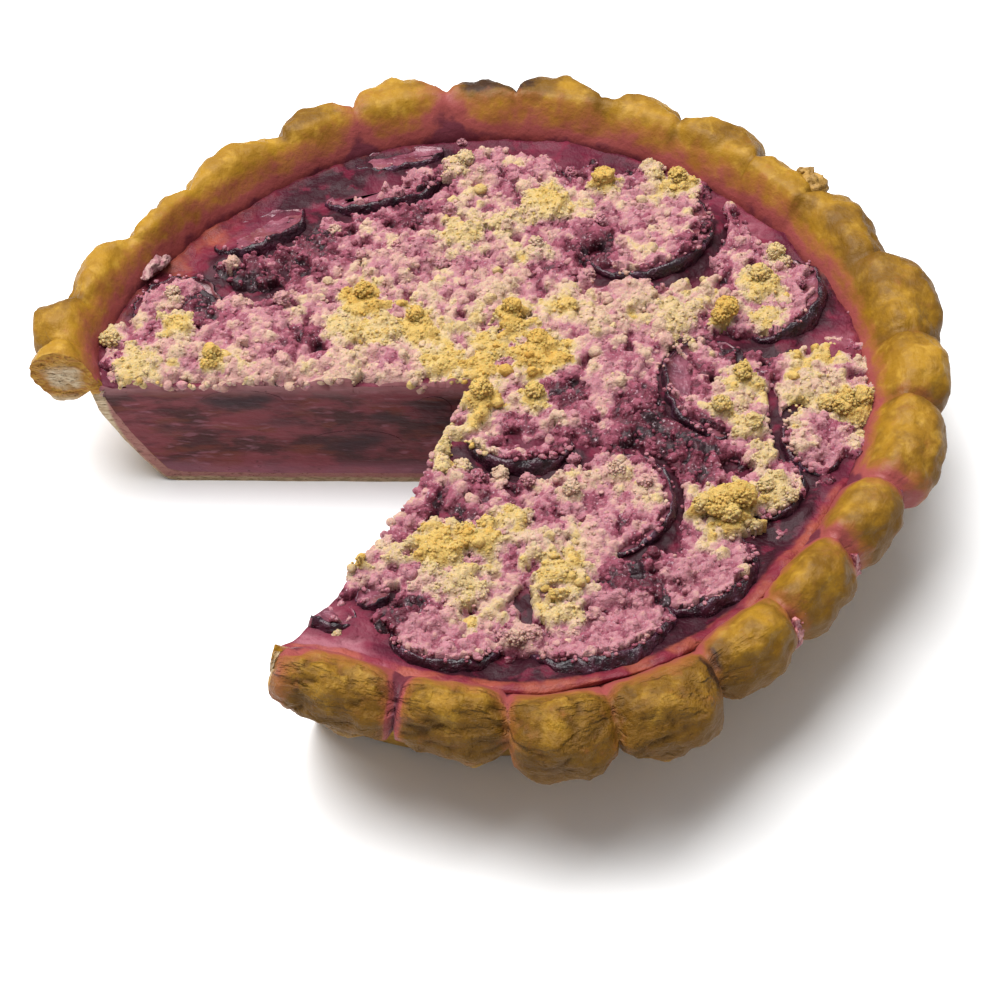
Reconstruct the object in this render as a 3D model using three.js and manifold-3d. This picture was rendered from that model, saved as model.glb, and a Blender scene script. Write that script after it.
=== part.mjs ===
// A plum crumble pie with one slice cut out of it. Millimetres, +Z up.
// The origin is the centre of the round base, on its underside. The photographed front faces -Y.

import * as THREE from 'three';
import { mergeVertices } from 'three/addons/utils/BufferGeometryUtils.js';
import Module from 'manifold-3d';

// Pastry case
const BASE_RADIUS = 87;
const WALL_FOOT_RADIUS = 91;
const WALL_FOOT_HEIGHT = 2.3;
const WALL_TOP_RADIUS = 103.6;
const WALL_TOP_HEIGHT = 33;
const WALL_BOW = 1.8;
const PASTRY_THICKNESS = 3.6;

// Crimped rim: one lobe at its crest, and the crease between two lobes
const LOBE_CROWN = 51;
const LOBE_UNDERSIDE = 33;
const CROWN_UNEVENNESS = 0.8;
const CREASE_DEPTH = 4.5;
const CREASE_CROWN = 46;
const CREASE_UNDERSIDE = 35.5;
const CREASE_INSET = 1.5;
const FRONT_DROOP = 4.5;
const DOUGH_RELIEF = 0.55;
const STEPS_PER_LOBE = 6;

// The lobes that are left, from the second cut round to the first:
// [azimuth of the crease after the lobe, inner radius, outer reach]
const FIRST_CREASE = -119.5;
const LOBES = [
  [-102.5, 95.5, 113], [-88, 97, 115.5], [-75, 100, 123], [-60.5, 100, 122.8], [-47, 97.5, 114.8],
  [-33, 95, 112.5], [-20, 95.5, 112.5], [-4, 99, 119.5], [7.5, 101, 122.5], [22.5, 101, 124],
  [37, 101, 120], [47.5, 101, 115], [61, 101, 118.5], [73.5, 101, 117.5], [86.5, 101, 117],
  [97.5, 100.5, 115.5], [111.5, 100.5, 118], [123.5, 100.5, 117.5], [141.5, 101, 115],
  [153.5, 103, 113.5], [167, 106.5, 119.5], [174.5, 108.5, 125.5], [185, 105.5, 122],
];
const LOST_LOBES = 5;
const LOST_LOBE = [101, 118];

// A crumb of dough baked onto the rim: azimuth, distance from the axis, height, size
const DOUGH_CRUMB = [38.5, 114, 46.5, 4.5];

// The wall follows the inner edge of the rim, more the higher it gets
const EVEN_EDGE = 101.5;
const LEAN_HEIGHT = 38;

// The slice that was taken out: a straight cut, and an unsteady one along these points
const APEX = [-4, 2.3];
const FIRST_CUT = 179.5;
const SECOND_CUT = [[-8, -5], [-20.5, -38], [-37, -66], [-52, -86], [-54, -97], [-67, -142]];
const CUT_LENGTH = 220;
const CUT_HEIGHT = 90;

// Custard
const CUSTARD_HEIGHT = 39;
const CUSTARD_FALL = 1.8;
const CUSTARD_RADIUS = 101;
const CUSTARD_SEGMENTS = 48;
const GAP = 0.3;
const WALL_GAP = 0.7;

// Crumble
const CRUMBLE_THICKNESS = 3;
const CRUMBLE_RELIEF = 1;
const CRUMBLE_EDGE = 1.1;
const CRUMBLE_RADIUS = 87;
const CRUMBLE_SEGMENTS = 56;
const CRUMBLE_RINGS = 11;
const CRUMBLE_CLEARANCE = 0.5;

// A lump is a ball, and a wide one has a second ball at its side, all as shares of its width
const LUMP_BALL = 0.31;
const LUMP_SECOND_BALL = 0.24;
const LUMP_STEP = 0.36;
const PAIRED_LUMP_WIDTH = 11.5;

// Where the crumble runs out further or less far: [azimuth, half width in degrees, extra reach in mm]
const CRUMBLE_TONGUES = [
  [172, 16, 16], [150, 8, 3], [128, 18, -15], [94, 12, 4], [58, 9, 9], [36, 12, -3],
  [0, 16, 12], [-32, 16, -7], [-70, 26, -6], [-114, 12, -5],
];

// The larger lumps that stand out of the crumble: [x, y, width]
const LUMPS = [
  [-35, 33, 13], [-22, 27, 9], [-45, 22, 9], [-19, 9, 14], [-5, 10, 15], [10, 9, 14],
  [6, 23, 8], [-8, 54, 15], [14, 72, 12], [31, 79, 9], [52, 81, 12], [-12, 85, 9],
  [50, 28, 13], [66, 27, 12], [79, 48, 11], [-88, 22, 13], [-74, 8, 8], [-97, 9, 12],
  [-2, -9, 10], [11, -8, 9], [-12, -31, 14], [-13, -59, 15], [2, -55, 10], [12, -70, 13],
  [-8, -69, 13], [52, -46, 15], [65, -42, 10], [69, -6, 12], [94, -10, 13], [60, -18, 11],
  [33, -31, 8], [20, -41, 8], [6, -86, 9], [45, -65, 9], [75, 5, 9], [-36, -58, 7],
];

// Plum halves, laid cut side up and half sunk: [x, y, side that is raised, length, width, tilt, height]
const PLUMS = [
  [-11, -82, 263, 28, 19, 16, 39.5],
  [27, -79.5, 292, 38, 25, 24, 39.5],
  [54, -61.5, 320, 29, 21, 20, 39.5],
  [71, -34, 334, 22, 19, 18, 39.5],
  [83.5, -17, 182, 24, 17, 17, 40],
  [60, 1, 184, 36, 31, 11, 40],
  [77, 34, 335, 33, 25, 20, 39.5],
  [42, 59, 310, 41, 35, 12, 40.5],
  [-31, 77, 288, 34, 15, 18, 39.5],
  [-65, 61, 302, 28, 16, 20, 39.5],
  [-27, 91, 283, 26, 8, 14, 39],
  [-86, 32, 110, 24, 17, 15, 39.5],
  [7, -17, 268, 29, 21, 18, 39.5],
  [32, -39, 356, 34, 29, 14, 40],
  [-42, -72, 244, 18, 11, 22, 39.5],
  [-30, -69, 300, 9, 6, 22, 40.5],
];
const PLUM_DEPTH = 12;

// Plum pieces that show in the first cut: [x, y, height, half length, half width, half height]
const SUNKEN_PLUMS = [
  [-67, 5, 32.5, 12, 8, 5],
  [-37, 5, 16, 14, 8, 6],
  [-16, 5, 30, 6.5, 5, 6.5],
];

const COLOURS = {
  pastry: 0xc9963f,
  custard: 0x8b4a5c,
  crumble: 0xe0bd86,
  plum: 0x35162c,
};

const wasm = await Module();
wasm.setup();

const radians = THREE.MathUtils.degToRad;
const mix = THREE.MathUtils.lerp;

function seeded(seed) {
  let state = seed;
  return () => {
    state = (state * 1664525 + 1013904223) % 4294967296;
    return state / 4294967296;
  };
}

// A smooth unevenness between about -1 and 1
function ripple(x, y, z) {
  const long = Math.sin(0.21 * x + 0.4 * z + 1.3) * Math.cos(0.19 * y - 0.5);
  const short = Math.sin(0.47 * y + 0.31 * z) * Math.cos(0.53 * x + 0.9);
  return 0.6 * long + 0.5 * short;
}

// Merges the shared vertices of a geometry and drops the faces that close up at a pole
function solid(geometry) {
  const plain = geometry.clone();
  plain.deleteAttribute('normal');
  plain.deleteAttribute('uv');
  const merged = mergeVertices(plain, 1e-4);
  const faces = [];
  const index = merged.index.array;
  for (let i = 0; i < index.length; i += 3) {
    const [a, b, c] = [index[i], index[i + 1], index[i + 2]];
    if (a !== b && b !== c && c !== a) faces.push(a, b, c);
  }
  return new wasm.Manifold(new wasm.Mesh({
    numProp: 3,
    vertProperties: new Float32Array(merged.getAttribute('position').array),
    triVerts: new Uint32Array(faces),
  }));
}

// One body of a solid: what a cut leaves loose is dropped
function largest(body) {
  const bodies = body.decompose();
  return bodies.reduce((best, one) => (one.volume() > best.volume() ? one : best));
}

function meshOf(name, body, colour, roughness) {
  const { vertProperties, triVerts } = largest(body).getMesh();
  const geometry = new THREE.BufferGeometry();
  geometry.setAttribute('position', new THREE.BufferAttribute(vertProperties, 3));
  geometry.setIndex(new THREE.BufferAttribute(triVerts, 1));
  geometry.computeVertexNormals();
  const material = new THREE.MeshStandardMaterial({ color: colour, roughness, metalness: 0 });
  const mesh = new THREE.Mesh(geometry, material);
  mesh.name = name;
  return mesh;
}

// Turns a profile round the axis. place moves each point: it gets the step round the axis and
// the point's number in the profile, and returns its azimuth in degrees, radius and height.
function turned(profile, steps, place) {
  const geometry = new THREE.LatheGeometry(profile, steps);
  const position = geometry.getAttribute('position');
  for (let step = 0; step <= steps; step += 1) {
    for (let k = 0; k < profile.length; k += 1) {
      const [azimuth, radius, height] = place(step % steps, k);
      const turn = radians(azimuth);
      const at = step * profile.length + k;
      position.setXYZ(at, radius * Math.cos(turn), radius * Math.sin(turn), height);
    }
  }
  return solid(geometry);
}

// A rough ball with few faces
function ball(x, y, z, size, random) {
  const geometry = new THREE.IcosahedronGeometry(size, 0);
  geometry.rotateZ(2 * Math.PI * random());
  geometry.rotateX(2 * Math.PI * random());
  geometry.scale(1 + 0.3 * random(), 1 + 0.3 * random(), 0.8);
  geometry.translate(x, y, z);
  return solid(geometry);
}

// The lobes all the way round, with even ones where the slice is missing
function ringOfLobes() {
  const ring = LOBES.map(([end, inner, outer]) => ({ end, inner, outer }));
  const last = ring[ring.length - 1].end;
  for (let i = 1; i <= LOST_LOBES; i += 1) {
    const end = mix(last, FIRST_CREASE + 360, i / LOST_LOBES);
    ring.push({ end, inner: LOST_LOBE[0], outer: LOST_LOBE[1] });
  }
  ring.forEach((lobe, i) => {
    lobe.start = i === 0 ? FIRST_CREASE : ring[i - 1].end;
    lobe.crest = 0.5 * (lobe.start + lobe.end);
    lobe.crown = LOBE_CROWN + CROWN_UNEVENNESS * Math.sin(2.4 * i);
  });
  return ring;
}

const ring = ringOfLobes();

function neighbour(number, side) {
  return ring[(number + side + ring.length) % ring.length];
}

// Radius of the rim's inner edge, eased from the crest of one lobe to the next
function innerEdge(azimuth) {
  const place = ((azimuth - FIRST_CREASE) % 360 + 360) % 360 + FIRST_CREASE;
  const number = ring.findIndex((lobe) => place < lobe.end);
  const lobe = ring[number];
  const side = place < lobe.crest ? -1 : 1;
  const other = neighbour(number, side);
  const halfOwn = 0.5 * (lobe.end - lobe.start);
  const halfOther = 0.5 * (other.end - other.start);
  const way = Math.abs(place - lobe.crest) / (halfOwn + halfOther);
  return mix(lobe.inner, other.inner, THREE.MathUtils.smoothstep(way, 0, 1));
}

// How far a point of the wall or the filling is moved outwards to follow the rim
function lean(azimuth, radius, height) {
  const up = Math.max(height, 0) / LEAN_HEIGHT;
  return (innerEdge(azimuth) - EVEN_EDGE) * up ** 1.5 * (radius / EVEN_EDGE) ** 3;
}

// The rim's section at one place: across runs from -1 in one crease to 1 in the next
function rimSection(number, across) {
  const lobe = ring[number];
  const other = neighbour(number, across < 0 ? -1 : 1);
  const azimuth = mix(lobe.start, lobe.end, 0.5 * (across + 1));
  const swell = Math.sqrt(1 - Math.abs(across) ** 2.4);
  const creaseReach = 0.5 * (lobe.outer + other.outer) - CREASE_DEPTH;
  const front = Math.max(0, -Math.sin(radians(azimuth)));
  return {
    azimuth,
    inner: innerEdge(azimuth) + CREASE_INSET * (1 - swell),
    outer: mix(creaseReach, lobe.outer, swell),
    top: mix(CREASE_CROWN, lobe.crown, swell) - 0.3 * FRONT_DROOP * front,
    bottom: mix(CREASE_UNDERSIDE, LOBE_UNDERSIDE, swell) - FRONT_DROOP * front * swell,
  };
}

// Outside of the wall, from the foot to under the rim
function wallRadius(height) {
  const up = (height - WALL_FOOT_HEIGHT) / (WALL_TOP_HEIGHT - WALL_FOOT_HEIGHT);
  return mix(WALL_FOOT_RADIUS, WALL_TOP_RADIUS, up) + WALL_BOW * 4 * up * (1 - up);
}

function innerRadius(height) {
  return wallRadius(Math.max(height, PASTRY_THICKNESS)) - PASTRY_THICKNESS;
}

function makeCrust() {
  const foot = [
    [0, 0], [BASE_RADIUS, 0], [WALL_FOOT_RADIUS, WALL_FOOT_HEIGHT],
    [wallRadius(12), 12], [wallRadius(26), 26],
  ];
  // Turns round the rim's section: from its inner underside, over the outside, to its inner top
  const rimTurns = [-140, -85, -40, 0, 40, 80, 125];
  const rim = rimTurns.map(() => [EVEN_EDGE, LOBE_CROWN]);
  const inside = [
    [innerRadius(CUSTARD_HEIGHT - 2.5), CUSTARD_HEIGHT - 2.5], [innerRadius(22), 22],
    [innerRadius(8), 8], [BASE_RADIUS - 2, PASTRY_THICKNESS], [0, PASTRY_THICKNESS],
  ];
  const points = foot.concat(rim, inside);
  const profile = points.map(([r, z]) => new THREE.Vector2(r, z));
  const crust = turned(profile, ring.length * STEPS_PER_LOBE, (step, k) => {
    const number = Math.floor(step / STEPS_PER_LOBE);
    const across = 2 * ((step % STEPS_PER_LOBE) / STEPS_PER_LOBE) - 1;
    const section = rimSection(number, across);
    const rimPoint = k - foot.length;
    if (rimPoint < 0 || rimPoint >= rimTurns.length) {
      const [r, z] = points[k];
      return [section.azimuth, r + lean(section.azimuth, r, z), z];
    }
    const turn = radians(rimTurns[rimPoint]);
    const relief = DOUGH_RELIEF * ripple(3 * section.azimuth, 9 * turn, k);
    const halfWidth = 0.5 * (section.outer - section.inner) + relief;
    const halfHeight = 0.5 * (section.top - section.bottom) + relief;
    const radius = 0.5 * (section.outer + section.inner) + halfWidth * Math.cos(turn);
    const height = 0.5 * (section.top + section.bottom) + halfHeight * Math.sin(turn);
    return [section.azimuth, radius, height];
  });
  const [azimuth, distance, height, size] = DOUGH_CRUMB;
  const at = new THREE.Vector3(distance, 0, height);
  at.applyAxisAngle(new THREE.Vector3(0, 0, 1), radians(azimuth));
  return crust.add(ball(at.x, at.y, at.z, size, seeded(3)));
}

function custardTop(radius) {
  return CUSTARD_HEIGHT - CUSTARD_FALL * (radius / CUSTARD_RADIUS) ** 4;
}

function makeCustard() {
  const points = [[0, PASTRY_THICKNESS + GAP], [BASE_RADIUS - 3, PASTRY_THICKNESS + GAP]];
  [9, 24].forEach((z) => points.push([innerRadius(z) - WALL_GAP, z]));
  const edge = innerRadius(CUSTARD_HEIGHT - 3) - WALL_GAP;
  [edge, edge - 7, 70, 0].forEach((r) => points.push([r, custardTop(r)]));
  const profile = points.map(([r, z]) => new THREE.Vector2(r, z));
  return turned(profile, CUSTARD_SEGMENTS, (step, k) => {
    const azimuth = (step * 360) / CUSTARD_SEGMENTS;
    const [r, z] = points[k];
    return [azimuth, r + lean(azimuth, r, z), z];
  });
}

function crumbleReach(azimuth) {
  let reach = CRUMBLE_RADIUS;
  CRUMBLE_TONGUES.forEach(([centre, halfWidth, extra]) => {
    const off = (((azimuth - centre) % 360) + 540) % 360 - 180;
    reach += extra * Math.exp(-((off / halfWidth) ** 2));
  });
  return reach + 1.6 * ripple(5 * azimuth, 2 * azimuth, 0);
}

function crumbleTop(x, y) {
  const radius = Math.hypot(x, y);
  return custardTop(radius) + CRUMBLE_THICKNESS + CRUMBLE_RELIEF * ripple(1.6 * x, 1.6 * y, 0);
}

function makeCrumbleSheet() {
  const parts = [];
  for (let i = 0; i <= 3; i += 1) parts.push([i / 3, false]);
  for (let i = CRUMBLE_RINGS; i >= 0; i -= 1) parts.push([i / CRUMBLE_RINGS, true]);
  const profile = parts.map(([out, top]) => new THREE.Vector2(out * CRUMBLE_RADIUS, top ? 1 : 0));
  const stepAngle = 360 / CRUMBLE_SEGMENTS;
  return turned(profile, CRUMBLE_SEGMENTS, (step, k) => {
    const [out, top] = parts[k];
    const azimuth = step * stepAngle;
    const radius = out * crumbleReach(azimuth);
    if (!top) return [azimuth, radius, custardTop(radius) + CRUMBLE_CLEARANCE];
    const turn = radians(azimuth);
    const full = crumbleTop(radius * Math.cos(turn), radius * Math.sin(turn));
    const height = out === 1 ? custardTop(radius) + CRUMBLE_EDGE : full;
    return [azimuth, radius, height];
  });
}

// A lump sunk in the sheet of crumble, clear of the custard
function grain(x, y, size, random) {
  const clear = custardTop(Math.hypot(x, y)) + 2 * GAP + 0.85 * size;
  return ball(x, y, Math.max(crumbleTop(x, y) + 0.2 * size, clear), size, random);
}

function makeGrains() {
  const random = seeded(7);
  const grains = [];
  LUMPS.forEach(([x, y, width]) => {
    grains.push(grain(x, y, LUMP_BALL * width, random));
    if (width > PAIRED_LUMP_WIDTH) {
      const turn = 2 * Math.PI * random();
      const gx = x + LUMP_STEP * width * Math.cos(turn);
      const gy = y + LUMP_STEP * width * Math.sin(turn);
      grains.push(grain(gx, gy, LUMP_SECOND_BALL * width, random));
    }
  });
  return wasm.Manifold.union(grains);
}

// Half a plum with its cut face up. grow makes the space that it needs in its neighbours.
function makePlum([x, y, raised, length, width, tilt, height], grow) {
  const geometry = new THREE.SphereGeometry(1, 10, 6);
  geometry.rotateX(Math.PI / 2);
  geometry.scale(width / 2 + grow, length / 2 + grow, PLUM_DEPTH + grow);
  const half = new THREE.BoxGeometry(3 * width, 3 * length, 4 * PLUM_DEPTH);
  half.translate(0, 0, grow - 2 * PLUM_DEPTH);
  const place = new THREE.Matrix4().makeTranslation(x, y, height);
  place.multiply(new THREE.Matrix4().makeRotationZ(radians(raised)));
  place.multiply(new THREE.Matrix4().makeRotationY(radians(-tilt)));
  geometry.applyMatrix4(place);
  half.applyMatrix4(place);
  return solid(geometry).intersect(solid(half));
}

function makeSunkenPlum([x, y, z, halfLength, halfWidth, halfHeight], grow) {
  const geometry = new THREE.SphereGeometry(1, 10, 6);
  geometry.rotateX(Math.PI / 2);
  geometry.scale(halfLength + grow, halfWidth + grow, halfHeight + grow);
  geometry.translate(x, y, z);
  return solid(geometry);
}

// The missing slice as a prism, to cut from every piece
function makeSlice() {
  const corner = (x, y) => new THREE.Vector2(x, y);
  const turn = radians(FIRST_CUT);
  const far = corner(Math.cos(turn), Math.sin(turn)).multiplyScalar(CUT_LENGTH);
  const outline = [corner(...APEX), corner(...APEX).add(far), corner(-CUT_LENGTH, -CUT_LENGTH)];
  SECOND_CUT.toReversed().forEach(([x, y]) => outline.push(corner(x, y)));
  const geometry = new THREE.ExtrudeGeometry(new THREE.Shape(outline), {
    depth: CUT_HEIGHT,
    bevelEnabled: false,
  });
  geometry.translate(0, 0, -0.2 * CUT_HEIGHT);
  return solid(geometry);
}

const slice = makeSlice();
const custard = makeCustard();
const plums = PLUMS.map((plum) => makePlum(plum, 0));
const sunkenPlums = SUNKEN_PLUMS.map((plum) => makeSunkenPlum(plum, 0));
const plumRoom = wasm.Manifold.union([
  ...PLUMS.map((plum) => makePlum(plum, GAP)),
  ...SUNKEN_PLUMS.map((plum) => makeSunkenPlum(plum, GAP)),
]);
const sheet = makeCrumbleSheet().subtract(slice);
const crumble = sheet.add(makeGrains()).subtract(plumRoom);

const pie = new THREE.Group();
pie.add(meshOf('crust', makeCrust().subtract(slice), COLOURS.pastry, 0.55));
pie.add(meshOf('custard', custard.subtract(slice).subtract(plumRoom), COLOURS.custard, 0.35));
pie.add(meshOf('crumble', crumble, COLOURS.crumble, 0.85));
plums.forEach((plum, i) => {
  const name = `plum_half_${String(i + 1).padStart(2, '0')}`;
  pie.add(meshOf(name, plum.subtract(slice), COLOURS.plum, 0.3));
});
sunkenPlums.forEach((plum, i) => {
  pie.add(meshOf(`sunken_plum_${i + 1}`, plum.subtract(slice), COLOURS.plum, 0.4));
});

export default pie;
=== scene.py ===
# A plum crumble pie with one slice cut out of it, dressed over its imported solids.

import math
import random

import bmesh
import bpy
import numpy as np
from mathutils import Matrix, Vector, noise


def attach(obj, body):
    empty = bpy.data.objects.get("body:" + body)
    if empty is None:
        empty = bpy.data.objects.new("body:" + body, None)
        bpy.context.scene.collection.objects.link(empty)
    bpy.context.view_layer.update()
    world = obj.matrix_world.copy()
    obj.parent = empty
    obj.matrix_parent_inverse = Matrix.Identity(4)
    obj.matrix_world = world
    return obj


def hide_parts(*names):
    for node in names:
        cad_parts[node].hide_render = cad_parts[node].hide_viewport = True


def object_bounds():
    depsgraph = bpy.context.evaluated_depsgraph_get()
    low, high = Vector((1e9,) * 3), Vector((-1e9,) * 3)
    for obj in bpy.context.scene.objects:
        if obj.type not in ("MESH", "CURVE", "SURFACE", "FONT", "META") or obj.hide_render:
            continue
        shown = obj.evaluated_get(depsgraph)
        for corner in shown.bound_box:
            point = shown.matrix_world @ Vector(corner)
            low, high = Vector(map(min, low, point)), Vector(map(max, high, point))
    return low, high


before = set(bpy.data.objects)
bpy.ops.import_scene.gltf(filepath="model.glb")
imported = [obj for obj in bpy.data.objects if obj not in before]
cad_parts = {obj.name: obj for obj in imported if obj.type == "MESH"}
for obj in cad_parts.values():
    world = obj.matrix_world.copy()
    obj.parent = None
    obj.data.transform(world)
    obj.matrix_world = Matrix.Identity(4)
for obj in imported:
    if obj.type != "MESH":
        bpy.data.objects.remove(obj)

cad_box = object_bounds()
MM = 0.001


# The missing slice. A knife has cut straight to the middle of the pie, and came back out along
# an unsteady line. Every piece is parted by the same slightly rough cut.

APEX = (-4, 2.3)
FIRST_CUT = math.radians(179.5)
SECOND_CUT = [(-8, -5), (-20.5, -38), (-37, -66), (-52, -86), (-54, -97), (-67, -142)]
CUT_LENGTH = 150
OUTER_CORNER = (-150, -150)
CUT_STEP = 1.6
CUT_LEVELS = 48
CUT_LOWEST = -9
NEAR_CUT = 0.6


def slice_outline(step):
    """Corners of the slice seen from above, with the two cuts divided into short steps."""
    end = (APEX[0] + CUT_LENGTH * math.cos(FIRST_CUT), APEX[1] + CUT_LENGTH * math.sin(FIRST_CUT))
    line = [end, APEX] + SECOND_CUT
    corners = []
    for (x0, y0), (x1, y1) in zip(line, line[1:]):
        pieces = max(1, round(math.hypot(x1 - x0, y1 - y0) / step))
        corners += [(x0 + (x1 - x0) * i / pieces, y0 + (y1 - y0) * i / pieces) for i in range(pieces)]
    return corners + [line[-1], OUTER_CORNER]


def from_stretch(x, y, x0, y0, x1, y1):
    """How far points are from the straight stretch between two places."""
    along, up = x1 - x0, y1 - y0
    share = np.clip(((x - x0) * along + (y - y0) * up) / (along * along + up * up), 0, 1)
    return np.hypot(x - x0 - share * along, y - y0 - share * up)


def clear_of_slice(x, y):
    """How far points are outside the slice, in mm; below zero inside it."""
    corners = slice_outline(math.inf)
    near = np.full(np.shape(x), math.inf)
    inside = np.zeros(np.shape(x), bool)
    for (x0, y0), (x1, y1) in zip(corners, corners[1:] + corners[:1]):
        near = np.minimum(near, from_stretch(x, y, x0, y0, x1, y1))
        if y0 != y1:
            inside ^= ((y0 > y) != (y1 > y)) & (x < (x1 - x0) * (y - y0) / (y1 - y0) + x0)
    return np.where(inside, -near, near)


def make_slice():
    """The slice as a body that cuts the others. It isn't shown."""
    bm = bmesh.new()
    low = [bm.verts.new((x, y, CUT_LOWEST)) for x, y in slice_outline(CUT_STEP)]
    loop = [bm.edges.new((a, b)) for a, b in zip(low, low[1:] + low[:1])]
    bm.faces.new(low)
    for _ in range(CUT_LEVELS):
        raised = bmesh.ops.extrude_edge_only(bm, edges=loop)["geom"]
        corners = [v for v in raised if isinstance(v, bmesh.types.BMVert)]
        bmesh.ops.translate(bm, vec=(0, 0, CUT_STEP), verts=corners)
        loop = [e for e in raised if isinstance(e, bmesh.types.BMEdge)]
    bmesh.ops.contextual_create(bm, geom=loop)
    for v in bm.verts:
        reach = min(1, Vector((v.co.x - APEX[0], v.co.y - APEX[1])).length / 10)
        along = Vector((0.08 * v.co.x, 0.08 * v.co.y, 0.3 * v.co.z))
        dent = 0.35 * noise.noise(along) + 0.12 * noise.noise(4 * along)
        # The thick rim has torn rather than been cut.
        if math.hypot(v.co.x, v.co.y) > 104 and v.co.z > 32:
            dent += 1.6 * noise.noise(3 * along) + 0.6 * noise.noise(7 * along)
        v.co += Vector((0.7, 0.7, 0)) * dent * reach
    bmesh.ops.recalc_face_normals(bm, faces=bm.faces)
    mesh = bpy.data.meshes.new("slice")
    bm.to_mesh(mesh)
    bm.free()
    piece = bpy.data.objects.new("slice", mesh)
    bpy.context.scene.collection.objects.link(piece)
    return piece


missing_slice = make_slice()
missing_slice.data.transform(Matrix.Scale(MM, 4))


def part_at_slice(piece, folded=False):
    """Cuts the slice out of a piece, and gives the cut faces the piece's last material.

    A folded piece has skin that runs through itself.
    """
    cut = piece.modifiers.new("slice", "BOOLEAN")
    cut.object = missing_slice
    cut.operation = "DIFFERENCE"
    cut.solver = "EXACT"
    cut.use_self = folded
    bpy.context.view_layer.update()
    whole = piece.data
    piece.data = bpy.data.meshes.new_from_object(piece.evaluated_get(bpy.context.evaluated_depsgraph_get()))
    piece.modifiers.clear()
    bpy.data.meshes.remove(whole)
    faces = piece.data.polygons
    centres = np.empty(3 * len(faces))
    normals = np.empty(3 * len(faces))
    faces.foreach_get("center", centres)
    faces.foreach_get("normal", normals)
    x, y, _ = centres.reshape(-1, 3).T / MM
    upright = np.abs(normals.reshape(-1, 3)[:, 2]) < 0.5
    on_cut = (np.abs(clear_of_slice(x, y)) < NEAR_CUT) & upright
    kinds = np.empty(len(faces), np.int32)
    faces.foreach_get("material_index", kinds)
    kinds[on_cut] = len(piece.data.materials) - 1
    faces.foreach_set("material_index", kinds)


# The pastry case. Shortcrust lines a sloping round tin and is rolled over at the top into a thick
# rim, which is pressed into uneven lobes, brushed with egg and baked golden brown.

BASE_RADIUS = 87
WALL = {"foot": 91, "foot_height": 2.3, "top": 103.6, "top_height": 33, "bow": 1.8}
PASTRY_THICKNESS = 3.6
EVEN_EDGE = 101.5
RIM_MIDDLE = 42
CREASE_TOP = 45.2
CREASE_BOTTOM = 35.5
LOBE_TOP = 51
LOBE_BOTTOM = 33
FILLING_LINE = 38.2
STEPS_PER_LOBE = 26
SLOPE_TURN = math.radians(54)
OFF_RIM = -1000
FIRST_CREASE = -119.5
# For each lobe: azimuth of the crease after it, its inner radius and its outer reach
LOBES = [
    (-102.5, 95.5, 113), (-88, 97, 115.5), (-75, 100, 123), (-60.5, 100, 122.8), (-47, 97.5, 114.8),
    (-33, 95, 112.5), (-20, 95.5, 112.5), (-4, 99, 119.5), (7.5, 101, 122.5), (22.5, 101, 124),
    (37, 101, 120), (47.5, 101, 115), (61, 101, 118.5), (73.5, 101, 117.5), (86.5, 101, 117),
    (97.5, 100.5, 115.5), (111.5, 100.5, 118), (123.5, 100.5, 117.5), (141.5, 101, 115),
    (153.5, 103, 113.5), (167, 106.5, 119.5), (174.5, 108.5, 125.5), (185, 105.5, 122),
]
# Five even lobes went with the slice.
LOBES += [(196.1, 101, 118), (207.2, 101, 118), (218.3, 101, 118), (229.4, 101, 118), (240.5, 101, 118)]

lobe_end, lobe_inner, lobe_outer = np.array(LOBES, float).T
lobe_start = np.concatenate([[FIRST_CREASE], lobe_end[:-1]])
lobe_crest = 0.5 * (lobe_start + lobe_end)
lobe_crown = LOBE_TOP + 0.8 * np.sin(2.4 * np.arange(len(lobe_end)))


def mix(a, b, share):
    return a + (b - a) * share


def eased(low, high, value):
    """0 below low, 1 above high, and smooth between."""
    share = np.clip((value - low) / (high - low), 0, 1)
    return share * share * (3 - 2 * share)


def inner_edge(azimuth):
    """Radius of the rim's inner edge, eased from the crest of one lobe to the next."""
    turned = (azimuth - FIRST_CREASE) % 360 + FIRST_CREASE
    number = np.minimum(np.searchsorted(lobe_end, turned, side="right"), len(lobe_end) - 1)
    other = (number + np.where(turned < lobe_crest[number], -1, 1)) % len(lobe_end)
    halves = 0.5 * (lobe_end - lobe_start)
    way = np.abs(turned - lobe_crest[number]) / (halves[number] + halves[other])
    return mix(lobe_inner[number], lobe_inner[other], eased(0, 1, way))


def lean(azimuth, radius, height):
    """How far the wall and the filling are moved outwards to follow the rim, in mm."""
    off = inner_edge(azimuth) - EVEN_EDGE
    return off * (np.maximum(height, 0) / 38) ** 1.5 * (radius / EVEN_EDGE) ** 3


def wall_radius(height):
    up = (height - WALL["foot_height"]) / (WALL["top_height"] - WALL["foot_height"])
    return mix(WALL["foot"], WALL["top"], up) + WALL["bow"] * 4 * up * (1 - up)


def held(value, limit):
    """Eases values that come within 2 mm of a limit, so that they stay short of it."""
    sign = 1 if limit > 0 else -1
    over = np.maximum(0, sign * (value - limit) + 2)
    return value - sign * over * over / (over + 2)


def relief(points, size, octaves=2):
    """Uneven swellings between about -1 and 1, size mm across, with finer ones on them."""
    fading, finer = 0.9, 2.1
    return np.array([noise.fractal(Vector(p) / size, fading, finer, octaves) for p in points])


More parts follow.
